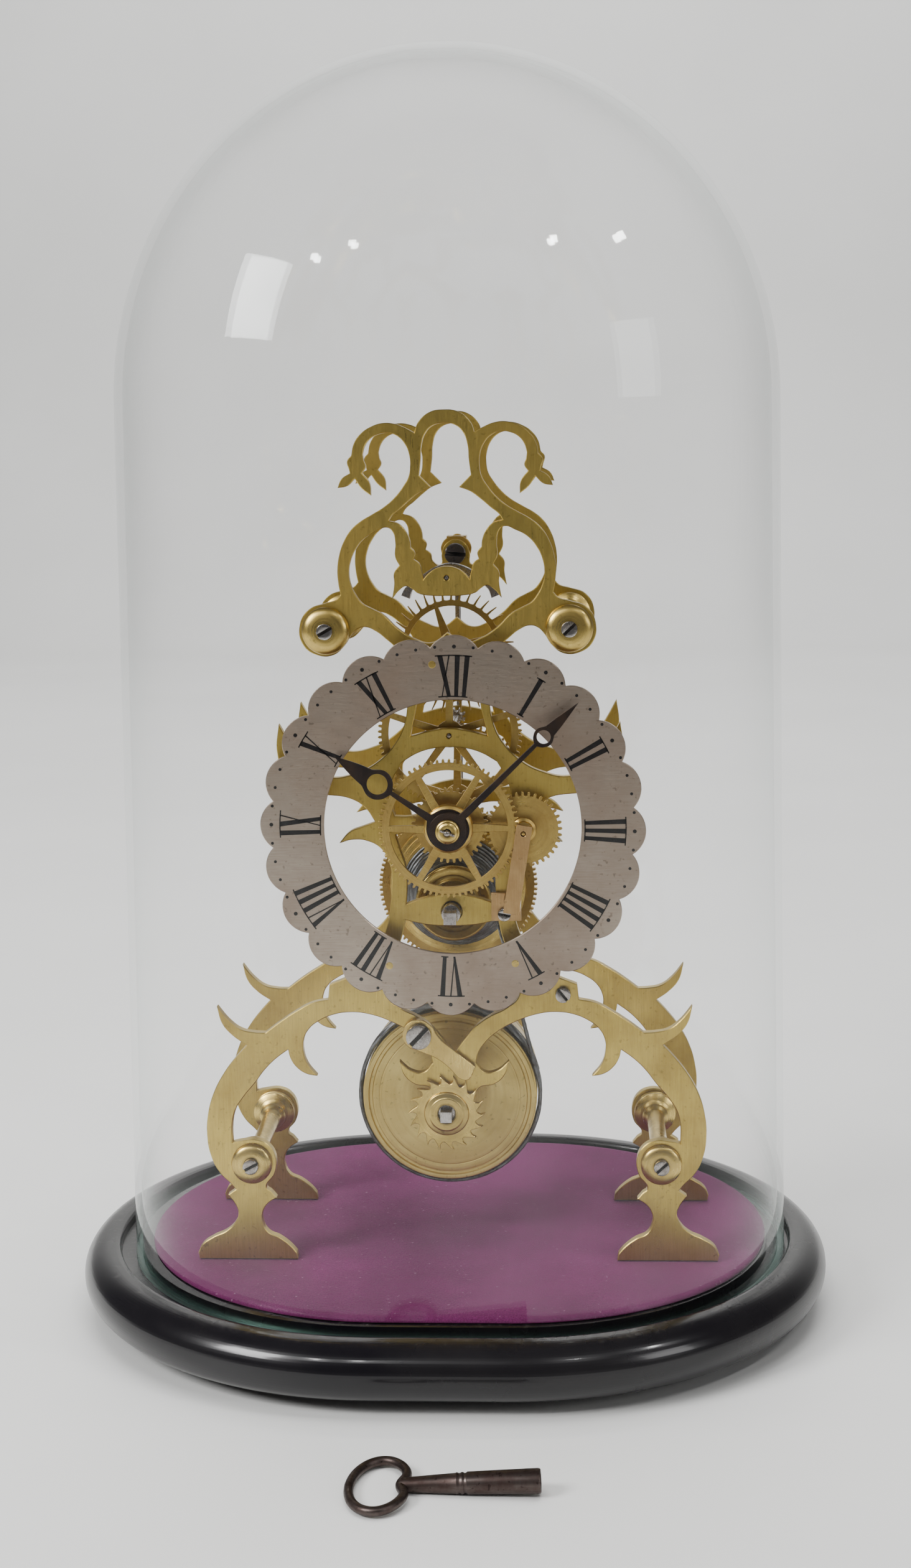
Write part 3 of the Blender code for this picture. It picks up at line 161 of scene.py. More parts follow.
@once
def metal(name, light, dark, roughness, grain=(1.0, 1.0, 0.05), fine=2600.0, rings_at=None,
          patch=45.0, tarnish=0.75, bump=0.10, specks=0.35):
    """Worn metal: slow patches of tarnish, dark specks, and a grain in bump and gloss.

    The grain is noise stretched along one way, or, about rings_at, noise of the distance
    from that fore-and-aft axis, as a lathe leaves it.
    """
    mat, tree, shader, coords = new_finish(name, Metallic=1.0)
    if rings_at is None:
        along = node(tree, "Mapping", {"Vector": coords, "Scale": grain}).outputs["Vector"]
    else:
        moved = node(tree, "Mapping", {"Vector": coords, "Location": (
            -CENTRE.x - rings_at[0] * MM, 0.0, -CENTRE.z - rings_at[1] * MM)})
        in_plane = node(tree, "VectorMath", {0: moved.outputs["Vector"], 1: (1.0, 0.0, 1.0)},
                        operation="MULTIPLY")
        ring = node(tree, "VectorMath", {0: in_plane.outputs["Vector"]}, operation="LENGTH")
        depth = node(tree, "SeparateXYZ", {"Vector": coords})
        along = node(tree, "CombineXYZ", {"X": ring.outputs["Value"],
                                          "Y": depth.outputs["Y"]}).outputs["Vector"]
    slow = noise(tree, coords, patch, 7.0, 0.62)
    cloudy = ranged(tree, slow, 0.38, 0.66, 0.0, tarnish)
    hair = noise(tree, along, fine, 2.0)
    streak = ranged(tree, hair, 0.35, 0.65)
    speck = ranged(tree, noise(tree, coords, 620.0, 2.0), 0.64, 0.72, 0.0, specks)
    colour = mixed(tree, cloudy, light, dark)
    colour = mixed(tree, ranged(tree, hair, 0.40, 0.68, 0.0, 0.32), colour, dark)
    colour = mixed(tree, speck, colour, tuple(0.35 * part for part in dark))
    tree.links.new(colour, shader.inputs["Base Color"])
    gloss = node(tree, "Math", {0: ranged(tree, slow, 0.3, 0.7, roughness - 0.06,
                                          roughness + 0.10),
                                1: ranged(tree, hair, 0.3, 0.7, -0.04, 0.06)},
                 operation="ADD")
    tree.links.new(gloss.outputs["Value"], shader.inputs["Roughness"])
    bumped(tree, shader, streak, bump, 0.00004)
    return mat


BRASS = (0.60, 0.45, 0.115)
OLD_BRASS = (0.37, 0.255, 0.060)


def plate_brass(name):
    return metal(name, BRASS, OLD_BRASS, 0.34, patch=38.0)


def wheel_brass(name, at):
    return metal(name, (0.58, 0.41, 0.12), (0.34, 0.215, 0.06), 0.32, rings_at=at, fine=1500.0,
                 patch=90.0)


def turned_brass(name, at):
    return metal(name, (0.62, 0.46, 0.14), (0.35, 0.245, 0.065), 0.29, rings_at=at, fine=1900.0,
                 patch=120.0, tarnish=0.6)


def matt_brass(name, at):
    return metal(name, (0.72, 0.57, 0.20), (0.55, 0.41, 0.12), 0.44, rings_at=at, fine=1300.0,
                 patch=70.0, tarnish=0.7, bump=0.06, specks=0.45)


def steel(name):
    return metal(name, (0.46, 0.44, 0.42), (0.20, 0.16, 0.13), 0.24, grain=(1.0, 1.0, 1.0),
                 fine=1800.0, patch=160.0, specks=0.5)


def dark_steel(name):
    return metal(name, (0.085, 0.075, 0.072), (0.040, 0.032, 0.030), 0.34,
                 grain=(1.0, 1.0, 1.0), patch=120.0, specks=0.4)


def blacked_steel(name):
    return metal(name, (0.035, 0.030, 0.030), (0.060, 0.038, 0.026), 0.36,
                 grain=(0.2, 1.0, 1.0), patch=110.0, bump=0.06, specks=0.2)


def line_steel(name):
    return metal(name, (0.20, 0.21, 0.22), (0.07, 0.06, 0.05), 0.40, grain=(1.0, 1.0, 1.0),
                 fine=2400.0, patch=220.0, specks=0.5)


def iron(name):
    return metal(name, (0.105, 0.085, 0.078), (0.050, 0.030, 0.026), 0.42,
                 grain=(0.08, 1.0, 1.0), fine=1500.0, patch=130.0, bump=0.16, specks=0.6)


def silvered(name):
    """Silvered brass brushed across, browned where the silver has worn thin."""
    return metal(name, (0.46, 0.385, 0.31), (0.29, 0.215, 0.16), 0.34,
                 grain=(0.06, 1.0, 1.0), fine=2300.0, patch=26.0, tarnish=0.9, bump=0.12,
                 specks=0.5)


@once
def ebonised(name):
    """Black French polish: a clear coat over faint wood grain, with dust where it lies flat."""
    mat, tree, shader, coords = new_finish(name, Coat_Weight=0.3, Coat_Roughness=0.10,
                                           Specular_IOR_Level=0.3)
    grain = node(tree, "Mapping", {"Vector": coords, "Scale": (0.12, 1.0, 1.0)})
    pores = noise(tree, grain.outputs["Vector"], 900.0, 4.0)
    cloud = noise(tree, coords, 22.0, 5.0)
    facing = node(tree, "SeparateXYZ", {"Vector": node(tree, "NewGeometry").outputs["Normal"]})
    level = ranged(tree, facing.outputs["Z"], 0.90, 1.0)
    dust = node(tree, "Math", {0: level, 1: ranged(tree, noise(tree, coords, 480.0, 5.0),
                                                   0.55, 0.75, 0.0, 0.22)},
                operation="MULTIPLY").outputs["Value"]
    body = mixed(tree, ranged(tree, cloud, 0.35, 0.7), (0.004, 0.0035, 0.005),
                 (0.008, 0.007, 0.008))
    tree.links.new(mixed(tree, dust, body, (0.16, 0.15, 0.14)), shader.inputs["Base Color"])
    tree.links.new(ranged(tree, cloud, 0.3, 0.7, 0.20, 0.32), shader.inputs["Roughness"])
    bumped(tree, shader, pores, 0.05, 0.00008)
    return mat


@once
def velvet(name):
    """Short pile: fine fibre bump, sheen, and patches where the nap is brushed another way."""
    mat, tree, shader, coords = new_finish(name, Sheen_Weight=0.10, Sheen_Roughness=0.4,
                                           Specular_IOR_Level=0.15)
    shader.inputs["Sheen Tint"].default_value = (0.95, 0.72, 0.88, 1.0)
    nap = noise(tree, coords, 18.0, 4.0, 0.7)
    fibre = noise(tree, coords, 2300.0, 2.0)
    tuft = noise(tree, coords, 1200.0, 3.0)
    pile = mixed(tree, ranged(tree, nap, 0.36, 0.64), (0.105, 0.013, 0.066),
                 (0.155, 0.024, 0.102))
    pile = mixed(tree, ranged(tree, fibre, 0.35, 0.75, 0.0, 0.55), pile,
                 (0.028, 0.004, 0.018))
    lint = ranged(tree, noise(tree, coords, 700.0, 1.0), 0.70, 0.78, 0.0, 0.35)
    tree.links.new(mixed(tree, lint, pile, (0.34, 0.22, 0.30)), shader.inputs["Base Color"])
    tree.links.new(ranged(tree, nap, 0.3, 0.7, 0.86, 1.0), shader.inputs["Roughness"])
    height = node(tree, "Math", {0: fibre, 1: tuft}, operation="ADD").outputs["Value"]
    bumped(tree, shader, height, 0.6, 0.0002)
    return mat


@once
def dome_glass(name):
    """Thin clear glass: it mirrors by Fresnel and otherwise lets light straight through.

    Near the ground foot the wall turns greenish and less clear.
    """
    mat, tree, shader, coords = new_finish(name, Metallic=1.0)
    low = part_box("glass_dome")[0].z
    height = node(tree, "SeparateXYZ", {"Vector": coords}).outputs["Z"]
    foot = ranged(tree, height, low + 0.0040, low + 0.0005)
    facing = node(tree, "LayerWeight", {"Blend": 0.5}).outputs["Facing"]
    steep = node(tree, "Math", {0: facing, 1: 5.0}, operation="POWER").outputs["Value"]
    mirror = ranged(tree, steep, 0.0, 1.0, 0.015, 0.85)
    smear = ranged(tree, noise(tree, coords, 14.0, 5.0), 0.45, 0.75, 0.0, 0.012)
    clear = node(tree, "Math", {0: mirror, 1: smear}, operation="ADD").outputs["Value"]
    both = node(tree, "Math", {0: clear, 1: ranged(tree, foot, 0.0, 1.0, 0.0, 0.35)},
                operation="ADD", use_clamp=True).outputs["Value"]
    tree.links.new(both, shader.inputs["Alpha"])
    tree.links.new(mixed(tree, foot, (0.92, 0.95, 0.94), (0.42, 0.60, 0.54)),
                   shader.inputs["Base Color"])
    tree.links.new(ranged(tree, foot, 0.0, 1.0, 0.03, 0.35), shader.inputs["Roughness"])
    return mat


@once
def black_wax(name):
    mat, tree, shader, coords = new_finish(name, Specular_IOR_Level=0.15)
    worn = noise(tree, coords, 900.0, 4.0)
    tree.links.new(mixed(tree, ranged(tree, worn, 0.60, 0.78, 0.0, 0.25), (0.007, 0.006, 0.006),
                         (0.06, 0.05, 0.04)), shader.inputs["Base Color"])
    tree.links.new(ranged(tree, worn, 0.3, 0.7, 0.55, 0.75), shader.inputs["Roughness"])
    bumped(tree, shader, worn, 0.2, 0.00003)
    return mat


@once
def slot_shade_and_grime(name):
    """Old oil and dust in the bottom of a screw's slot."""
    mat, tree, shader, coords = new_finish(name, Specular_IOR_Level=0.2)
    mottle = noise(tree, coords, 1400.0, 4.0)
    tree.links.new(mixed(tree, mottle, (0.010, 0.008, 0.007), (0.045, 0.035, 0.028)),
                   shader.inputs["Base Color"])
    tree.links.new(ranged(tree, mottle, 0.3, 0.7, 0.6, 0.9), shader.inputs["Roughness"])
    return mat


@once
def floor_paper(name):
    mat, tree, shader, coords = new_finish(name, Specular_IOR_Level=0.3)
    slow = noise(tree, coords, 4.0, 4.0)
    paper = mixed(tree, ranged(tree, slow, 0.3, 0.7), (0.69, 0.69, 0.675),
                  (0.73, 0.73, 0.715))
    # Painted shade: the floor darkens to grey in front of the clock, towards and past the camera.
    nearness = node(tree, "SeparateXYZ", {"Vector": coords}).outputs["Y"]
    tree.links.new(mixed(tree, ranged(tree, nearness, -0.40, -1.30), paper,
                         (0.26, 0.26, 0.26)), shader.inputs["Base Color"])
    tree.links.new(ranged(tree, slow, 0.3, 0.7, 0.42, 0.52), shader.inputs["Roughness"])
    bumped(tree, shader, noise(tree, coords, 900.0, 4.0), 0.05, 0.0001)
    return mat


# ---------------------------------------------------------------- shapes
def grid_mesh(grid, wrap_u=False, wrap_v=False):
    """A mesh over a grid of points in mm, (rows, columns, 3); a wrapped side joins on itself."""
    rows, columns = grid.shape[:2]
    index = np.arange(rows * columns).reshape(rows, columns)
    if wrap_u:
        index = np.vstack([index, index[:1]])
    if wrap_v:
        index = np.hstack([index, index[:, :1]])
    quads = np.stack([index[:-1, :-1], index[1:, :-1], index[1:, 1:], index[:-1, 1:]], -1)
    mesh = bpy.data.meshes.new("grid")
    mesh.from_pydata((grid.reshape(-1, 3) * MM).tolist(), [], quads.reshape(-1, 4).tolist())
    return mesh


def eased(profile, ease=0.25, closed=False):
    """A profile with each corner cut back by ease and bridged by a quadratic curve."""
    points = np.array(profile, float)
    count = len(points)
    made = []
    for k in range(count):
        corner = points[k]
        if not closed and k in (0, count - 1):
            made.append(corner)
            continue
        before = points[k - 1] - corner
        after = points[(k + 1) % count] - corner
        before_long, after_long = np.hypot(*before), np.hypot(*after)
        start = corner + before / before_long * min(ease, before_long / 2.5)
        end = corner + after / after_long * min(ease, after_long / 2.5)
        for t in (0.0, 0.5, 1.0):
            made.append((1 - t) ** 2 * start + 2 * t * (1 - t) * corner + t * t * end)
    return np.array(made)


def turned(profile, steps=72, ease=0.2, ring=False, at=(0.0, 0.0)):
    """A solid of revolution about the forward axis: each (radius, forward) point goes round.

    point = (at + radius cos a, at + radius sin a, forward), a from 0 to a full turn.
    """
    line = eased(profile, ease, ring)
    angle = np.linspace(0, 2 * pi, steps, endpoint=False)
    grid = np.empty((len(line), steps, 3))
    grid[..., 0] = at[0] + line[:, :1] * np.cos(angle)
    grid[..., 1] = at[1] + line[:, :1] * np.sin(angle)
    grid[..., 2] = line[:, 1:]
    return grid_mesh(grid, wrap_u=ring, wrap_v=True)


def tube(path, radius, sides=12, closed=False, strands=0, lay=6.0):
    """A round section carried along a path of points in mm.

    The section stands square to the path; with strands its radius swells and dips round the
    section, and the swell turns once in every lay of length, as wires lie in a line.
    """
    path = np.asarray(path, float)
    if closed:
        forward = np.roll(path, -1, 0) - np.roll(path, 1, 0)
    else:
        forward = np.gradient(path, axis=0)
    forward /= np.linalg.norm(forward, axis=1)[:, None]
    hint = np.where(np.abs(forward[:, 2:]) < 0.9, [[0.0, 0.0, 1.0]], [[1.0, 0.0, 0.0]])
    side = np.cross(forward, hint)
    side /= np.linalg.norm(side, axis=1)[:, None]
    up = np.cross(side, forward)
    steps = np.linalg.norm(np.diff(path, axis=0), axis=1)
    run = np.concatenate([[0.0], np.cumsum(steps)])
    angle = np.linspace(0, 2 * pi, sides, endpoint=False)
    swell = np.ones((len(path), sides))
    if strands:
        turn = strands * (angle[None, :] - 2 * pi * run[:, None] / lay) / 2
        swell = 0.86 + 0.14 * np.abs(np.cos(turn))
    size = (np.broadcast_to(radius, (len(path),))[:, None] * swell)[..., None]
    grid = path[:, None] + size * (np.cos(angle)[None, :, None] * side[:, None]
                                   + np.sin(angle)[None, :, None] * up[:, None])
    if not closed:
        ends = np.repeat(path[[0, -1]][:, None], sides, 1)
        grid = np.concatenate([ends[:1], grid, ends[1:]])
    return grid_mesh(grid, wrap_u=closed, wrap_v=True)


def prisms(shapes, low, high):
    """Many small upright prisms in one mesh: (count, corners, 2) outlines between two heights."""
    shapes = np.asarray(shapes, float)
    count, corners = shapes.shape[:2]
    points = np.empty((count, 2, corners, 3))
    points[..., :2] = shapes[:, None]
    points[:, 0, :, 2] = low
    points[:, 1, :, 2] = high
    start = np.arange(count)[:, None] * 2 * corners
    ring = np.arange(corners)
    following = (ring + 1) % corners
    walls = np.stack([ring, following, following + corners, ring + corners], -1)
    faces = (start[:, :, None] + walls[None]).reshape(-1, 4).tolist()
    faces += (start + corners + ring).tolist()
    faces += (start + ring[::-1]).tolist()
    mesh = bpy.data.meshes.new("prisms")
    mesh.from_pydata((points.reshape(-1, 3) * MM).tolist(), [], faces)
    return mesh


def flat(loops, thick, back=0.0, chamfer=0.2, knots=8):
    """A flat outline with openings, sawn from sheet: loops of mm points, its edges chamfered.

    Points with three values are knots of a smooth curve, with a corner where the third is 1.
    """
    curve = bpy.data.curves.new("outline", "CURVE")
    curve.dimensions = "2D"
    curve.fill_mode = "BOTH"
    curve.extrude = (thick / 2 - chamfer) * MM
    curve.bevel_depth = chamfer * MM
    curve.bevel_resolution = 0
    curve.offset = -chamfer * MM
    curve.resolution_u = knots
    for loop in loops:
        smooth = len(loop[0]) == 3
        spline = curve.splines.new("BEZIER" if smooth else "POLY")
        if smooth:
            spline.bezier_points.add(len(loop) - 1)
            for knot, (x, y, corner) in zip(spline.bezier_points, loop):
                knot.co = (x * MM, y * MM, 0.0)
                kind = "VECTOR" if corner else "AUTO"
                knot.handle_left_type = kind
                knot.handle_right_type = kind
        else:
            spline.points.add(len(loop) - 1)
            flat_points = np.column_stack([np.array(loop) * MM, np.zeros(len(loop)),
                                           np.ones(len(loop))])
            spline.points.foreach_set("co", flat_points.ravel())
        spline.use_cyclic_u = True
    holder = bpy.data.objects.new("outline", curve)
    bpy.context.scene.collection.objects.link(holder)
    bpy.context.view_layer.update()
    graph = bpy.context.evaluated_depsgraph_get()
    mesh = bpy.data.meshes.new_from_object(holder.evaluated_get(graph))
    bpy.data.objects.remove(holder)
    mesh.transform(Matrix.Translation((0, 0, (back + thick / 2) * MM)))
    return mesh


def box(low, high):
    """A block between two corners in mm."""
    outline = [(low[0], low[1]), (high[0], low[1]), (high[0], high[1]), (low[0], high[1])]
    return flat([outline], high[2] - low[2], low[2], 0.12)


def moved(mesh, right=0.0, up=0.0, forward=0.0, turn=0.0):
    """The mesh turned clockwise in the face plane and shifted, in mm."""
    mesh.transform(Matrix.Translation((right * MM, up * MM, forward * MM))
                   @ Matrix.Rotation(-turn, 4, "Z"))
    return mesh


FACE_ON = Matrix.Translation((CENTRE.x, FRONT, CENTRE.z)) @ Matrix.Rotation(UP, 4, "X")


def piece(name, shapes, finish, body, stands_for=(), sharp=32.0, face_on=True,
          shade_and_grime=None):
    """One finished piece: its shapes in one mesh with normals out, riding on its body.

    With grime, faces of the second material, such as a slot's floor, take that instead.
    """
    whole = bmesh.new()
    for shape in shapes:
        whole.from_mesh(shape)
        bpy.data.meshes.remove(shape)
    bmesh.ops.remove_doubles(whole, verts=whole.verts, dist=0.000002)
    bmesh.ops.recalc_face_normals(whole, faces=whole.faces)
    mesh = bpy.data.meshes.new(name)
    whole.to_mesh(mesh)
    whole.free()
    if face_on:
        mesh.transform(FACE_ON)
    mesh.shade_smooth()
    mesh.set_sharp_from_angle(angle=radians(sharp))
    mesh.materials.append(finish)
    if shade_and_grime:
        mesh.materials.append(shade_and_grime)
    made = bpy.data.objects.new(name, mesh)
    bpy.context.scene.collection.objects.link(made)
    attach(made, body)
    if stands_for:
        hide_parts(*stands_for)
    return made


def softened(name, cad_node, finish, body, width=0.15, sharp=40.0):
    """A copy of a CAD node's solid with its doubles merged and its edges bevelled."""
    mesh = frame["nodes"][cad_node].data.copy()
    whole = bmesh.new()
    whole.from_mesh(mesh)
    bmesh.ops.remove_doubles(whole, verts=whole.verts, dist=0.000005)
    bmesh.ops.dissolve_limit(whole, angle_limit=radians(2.0), verts=whole.verts,
                             edges=whole.edges)
    whole.to_mesh(mesh)
    whole.free()
    mesh.materials.clear()
    mesh.materials.append(finish)
    mesh.shade_smooth()
    mesh.set_sharp_from_angle(angle=radians(sharp))
    made = bpy.data.objects.new(name, mesh)
    bpy.context.scene.collection.objects.link(made)
    bevel = made.modifiers.new("edges", "BEVEL")
    bevel.width = width * MM
    bevel.segments = 2
    bevel.limit_method = "ANGLE"
    bevel.angle_limit = radians(sharp)
    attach(made, body)
    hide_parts(cad_node)
    return made


def circle(x, y, radius, count=32):
    angle = np.linspace(0, 2 * pi, count, endpoint=False)
    return np.column_stack([x + radius * np.cos(angle), y + radius * np.sin(angle)])


def mirrored(half):
    """A closed symmetric loop from its right half, listed from top centre to bottom centre."""
    left = [(-point[0], *point[1:]) for point in reversed(half) if abs(point[0]) > 0.01]
    return list(half) + left


def around(count, tooth, phase=0.0):
    """A toothed edge: one tooth's (share of the pitch, radius) points repeated round."""
    tooth = np.array(tooth, float)
    angle = phase + (np.arange(count)[:, None] + tooth[None, :, 0]) * 2 * pi / count
    reach = np.broadcast_to(tooth[:, 1], angle.shape)
    return np.column_stack([(reach * np.cos(angle)).ravel(), (reach * np.sin(angle)).ravel()])


def wheel_teeth(count, pitch, module, phase):
    """Round-topped teeth: short straight flanks under an ogive tip."""
    root, tip = pitch - 1.30 * module, pitch + 0.72 * module
    tooth = [(-0.36, root), (-0.24, root + 0.12 * module), (-0.22, pitch - 0.1 * module),
             (-0.13, tip - 0.28 * module), (0.0, tip), (0.13, tip - 0.28 * module),
             (0.22, pitch - 0.1 * module), (0.24, root + 0.12 * module), (0.36, root)]
    return around(count, tooth, phase)


def leaves(count, pitch, module, phase):
    """A pinion's few leaves: narrow, with rounded tops."""
    root, tip = pitch - 1.30 * module, pitch + 0.60 * module
    tooth = [(-0.34, root), (-0.17, root + 0.3 * module), (-0.16, pitch),
             (-0.09, tip - 0.1 * module), (0.09, tip - 0.1 * module), (0.16, pitch),
             (0.17, root + 0.3 * module), (0.34, root)]
    return around(count, tooth, phase)


def crossings(count, inner, outer, hub_web, rim_web, first, steps=14):
    """The openings between a wheel's spokes, spokes standing at the angle first and on."""
    loops = []
    share = np.linspace(0, 1, steps)
    for k in range(count):
        low = first + 2 * pi * k / count
        high = first + 2 * pi * (k + 1) / count
        out = np.interp(share, (0, 1), (low + rim_web / 2 / outer, high - rim_web / 2 / outer))
        back = np.interp(share[::2], (0, 1), (high - hub_web / 2 / inner,
                                              low + hub_web / 2 / inner))
        loops.append(np.concatenate([
            np.column_stack([outer * np.cos(out), outer * np.sin(out)]),
            np.column_stack([inner * np.cos(back), inner * np.sin(back)])]))
    return loops


def screw_head(radius, thick, shank=1.2, shank_long=1.5, shoulder=0.25, slot_wide=0.32):
    """A slotted head on its shank: two half-discs over the slot's floor.

    Each half is a grid over angle and depth: bottom, rim, rounded shoulder and top, drawn in
    towards its middle, and it starts gap above the diameter.
    """
    gap = radius * slot_wide / 2
    edge = np.arcsin(gap / radius)
    angle = np.linspace(edge, pi - edge, 25)
    outline = np.column_stack([radius * np.cos(angle), radius * np.sin(angle)])
    centre = outline.mean(0)
    levels = ((1.0, 0.0), (0.0, 0.0), (0.0, thick - shoulder),
              (0.07, thick - shoulder * 0.3), (0.22, thick), (1.0, thick))
    rows = [np.column_stack([outline + (centre - outline) * inset,
                             np.full(len(outline), level)]) for inset, level in levels]
    halves = [grid_mesh(np.array(rows), wrap_v=True) for _ in range(2)]
    halves[1].transform(Matrix.Rotation(pi, 4, "Z"))
    floor = [(0, thick * 0.2), (radius * 0.985, thick * 0.2), (radius * 0.985, 0.0),
             (shank, 0.0), (shank, -shank_long), (0, -shank_long)]
    base = turned(floor, 36, 0.05)
    # The slot's floor and the shank take the second material: painted shade with old oil and dust.
    base.polygons.foreach_set("material_index", [1] * len(base.polygons))
    return [*halves, base]


def placed(shapes, right, up, forward, turn=0.0, behind=False):
    """Shapes turned in the face plane and set in place, facing backwards if behind."""
    way = Matrix.Translation((right * MM, up * MM, forward * MM))
    if behind:
        way = way @ Matrix.Rotation(pi, 4, "Y")
    for shape in shapes:
        shape.transform(way @ Matrix.Rotation(turn, 4, "Z"))
    return shapes


# ---------------------------------------------------------------- sizes a user would change
class ClockStand(bpy.types.PropertyGroup):
    """Base, pad and dome."""
    stretch: FloatProperty(
        name="Oval stretch", description="Half the straight run of the oval, in mm", default=21.5)
    bead: FloatProperty(
        name="Bead radius", description="Radius of the base's rounded edge, in mm", default=10.0)
    wall: FloatProperty(
        name="Glass wall", description="Thickness of the dome's glass, in mm", default=2.4)
    shoulder: FloatProperty(
        name="Dome shoulder", description="Height where the dome's top begins, in mm",
        default=321.0)


class ClockDial(bpy.types.PropertyGroup):
    """Chapter ring and hands."""
    lobes: IntProperty(name="Lobes", description="Round lobes along the ring's edge", default=24)
    inner: FloatProperty(
        name="Opening", description="Radius of the ring's opening, in mm", default=43.0)
    numeral_foot: FloatProperty(
        name="Numeral foot", description="Radius of the numerals' feet, in mm", default=44.0)
    numeral_head: FloatProperty(
        name="Numeral head", description="Radius of the numerals' heads, in mm", default=58.0)
    turn: FloatProperty(
        name="Ring turn", description="Clockwise turn of the ring on its feet",
        default=radians(1.4), subtype="ANGLE")
    minute_turn: FloatProperty(
        name="Minute hand", description="Clockwise turn of the minute hand at rest",
        default=radians(45.6), subtype="ANGLE")
    hour_turn: FloatProperty(
        name="Hour hand", description="Clockwise turn of the hour hand at rest",
        default=radians(303.8), subtype="ANGLE")


class ClockTrain(bpy.types.PropertyGroup):
    """Wheels, line and pinions."""
    line: FloatProperty(name="Line radius", description="Radius of the line, in mm",
                        default=0.75)
    fusee_turns: IntProperty(name="Fusee turns", description="Turns of line on the fusee",
                             default=10)
    barrel_turns: IntProperty(name="Barrel turns", description="Turns of line on the barrel",
                              default=4)


class ClockStudio(bpy.types.PropertyGroup):
    """Lights and surroundings."""
    key_power: FloatProperty(name="Key light", description="Power of the large left light",
                             default=24.0, unit="POWER")
    top_power: FloatProperty(name="Top light", description="Power of the overhead light",
                             default=17.0, unit="POWER")
    fill_power: FloatProperty(name="Fill light", description="Power of the right-hand light",
                              default=4.0, unit="POWER")
    backdrop_power: FloatProperty(name="Backdrop light", description="Power on the backdrop",
                                  default=75.0, unit="POWER")
    surround: FloatVectorProperty(name="Surround", description="Colour of the room around",
                                  default=(0.105, 0.103, 0.108), subtype="COLOR")


# ---------------------------------------------------------------- stand and dome
def oval(profile, stretch, right=0.0, fade=None, closed=False, ease=0.5, half_steps=96):
    """A turned profile drawn out sideways into a long oval, in the row frame.

    Each (radius, height) point goes round; the right half is pushed right and the left half
    left by stretch, or, with fade, by stretch radius / fade inside that radius.
    """
    line = eased(profile, ease, closed)
    angle = np.linspace(-pi / 2, pi / 2, half_steps)
    round_x = np.concatenate([np.cos(angle), -np.cos(angle)])
    round_y = np.concatenate([np.sin(angle), -np.sin(angle)])
    side = np.concatenate([np.ones(half_steps), -np.ones(half_steps)])
    reach = line[:, :1]
    shift = stretch * (reach > 0.01 if fade is None else np.minimum(1.0, reach / fade))
    grid = np.empty((len(line), 2 * half_steps, 3))
    grid[..., 0] = right + reach * round_x + shift * side
    grid[..., 1] = reach * round_y
    grid[..., 2] = line[:, 1:]
    return grid_mesh(grid, wrap_u=closed, wrap_v=True)


class CLOCK_OT_base(bpy.types.Operator):
    """The lacquered oval base and its velvet pad"""
    bl_idname = "clock.base"
    bl_label = "Base and velvet"

    def execute(self, context):
        stand = context.scene.clock_stand
        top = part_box("base_moulding")[1].z / MM
        angle = np.linspace(0, pi, 33)
        bead = np.column_stack([103.5 + stand.bead * np.sin(angle),
                                14.0 + stand.bead * np.cos(angle)])
        profile = [(0, 23.6), (92.4, 23.6), (92.4, 20.0), (100.0, 20.0), (100.0, top - 1.3),
                   (100.7, top - 0.3), (102.2, top + 0.02), *bead[1:], (98.6, 4.0),
                   (98.0, 3.0), (97.4, 1.2), (97.0, 0.0), (0, 0)]
        piece("base_moulding_lacquered", [oval(profile, stand.stretch, ease=0.15)],
              ebonised("ebonised_lacquer"), "frame", ["base_moulding"],
              face_on=False)
        low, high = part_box("velvet_pad")
        rim = (high.x - low.x) / 2 / MM - stand.stretch
        crown = high.z / MM
        swell = [(0, crown), (rim - 14.0, crown), (rim - 3.0, crown - 0.15),
                 (rim - 1.0, crown - 0.6), (rim - 0.2, crown - 1.3), (rim, low.z / MM),
                 (0, low.z / MM)]
        piece("velvet_pad_napped", [oval(swell, stand.stretch, (low.x + high.x) / 2 / MM,
                                         ease=0.5)],
              velvet("velvet_plum"), "frame", ["velvet_pad"], face_on=False)
        return {"FINISHED"}


class CLOCK_OT_dome(bpy.types.Operator):
    """The blown glass dome: a slightly tapered oval wall under an elliptic top"""
    bl_idname = "clock.dome"
    bl_label = "Glass dome"

    def execute(self, context):
        stand = context.scene.clock_stand
        low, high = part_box("glass_dome")
        right = (low.x + high.x) / 2 / MM
        foot = (high.x - low.x) / 2 / MM - stand.stretch
        base, apex = low.z / MM, high.z / MM
        shoulder = stand.shoulder
        at_shoulder = foot - 3.8
        height = np.linspace(shoulder, base, 34)
        side = np.interp(height, (base, 170.0, shoulder), (foot, foot - 2.1, at_shoulder))
        angle = np.linspace(0, pi / 2, 40)

        def wall(inset):
            top = np.column_stack([(at_shoulder - inset) * np.sin(angle),
                                   shoulder + (apex - shoulder - inset) * np.cos(angle)])
            return np.vstack([top[:-1], np.column_stack([side - inset, height])])

        outside = wall(0.0)
        inside = wall(stand.wall)[::-1]
        shell = oval(np.vstack([outside, inside]), stand.stretch, right, at_shoulder,
                     ease=0.0001, half_steps=72)
        piece("glass_dome_clear", [shell], dome_glass("dome_clear_glass"), "glass_dome",
              ["glass_dome"], sharp=50.0, face_on=False)
        return {"FINISHED"}


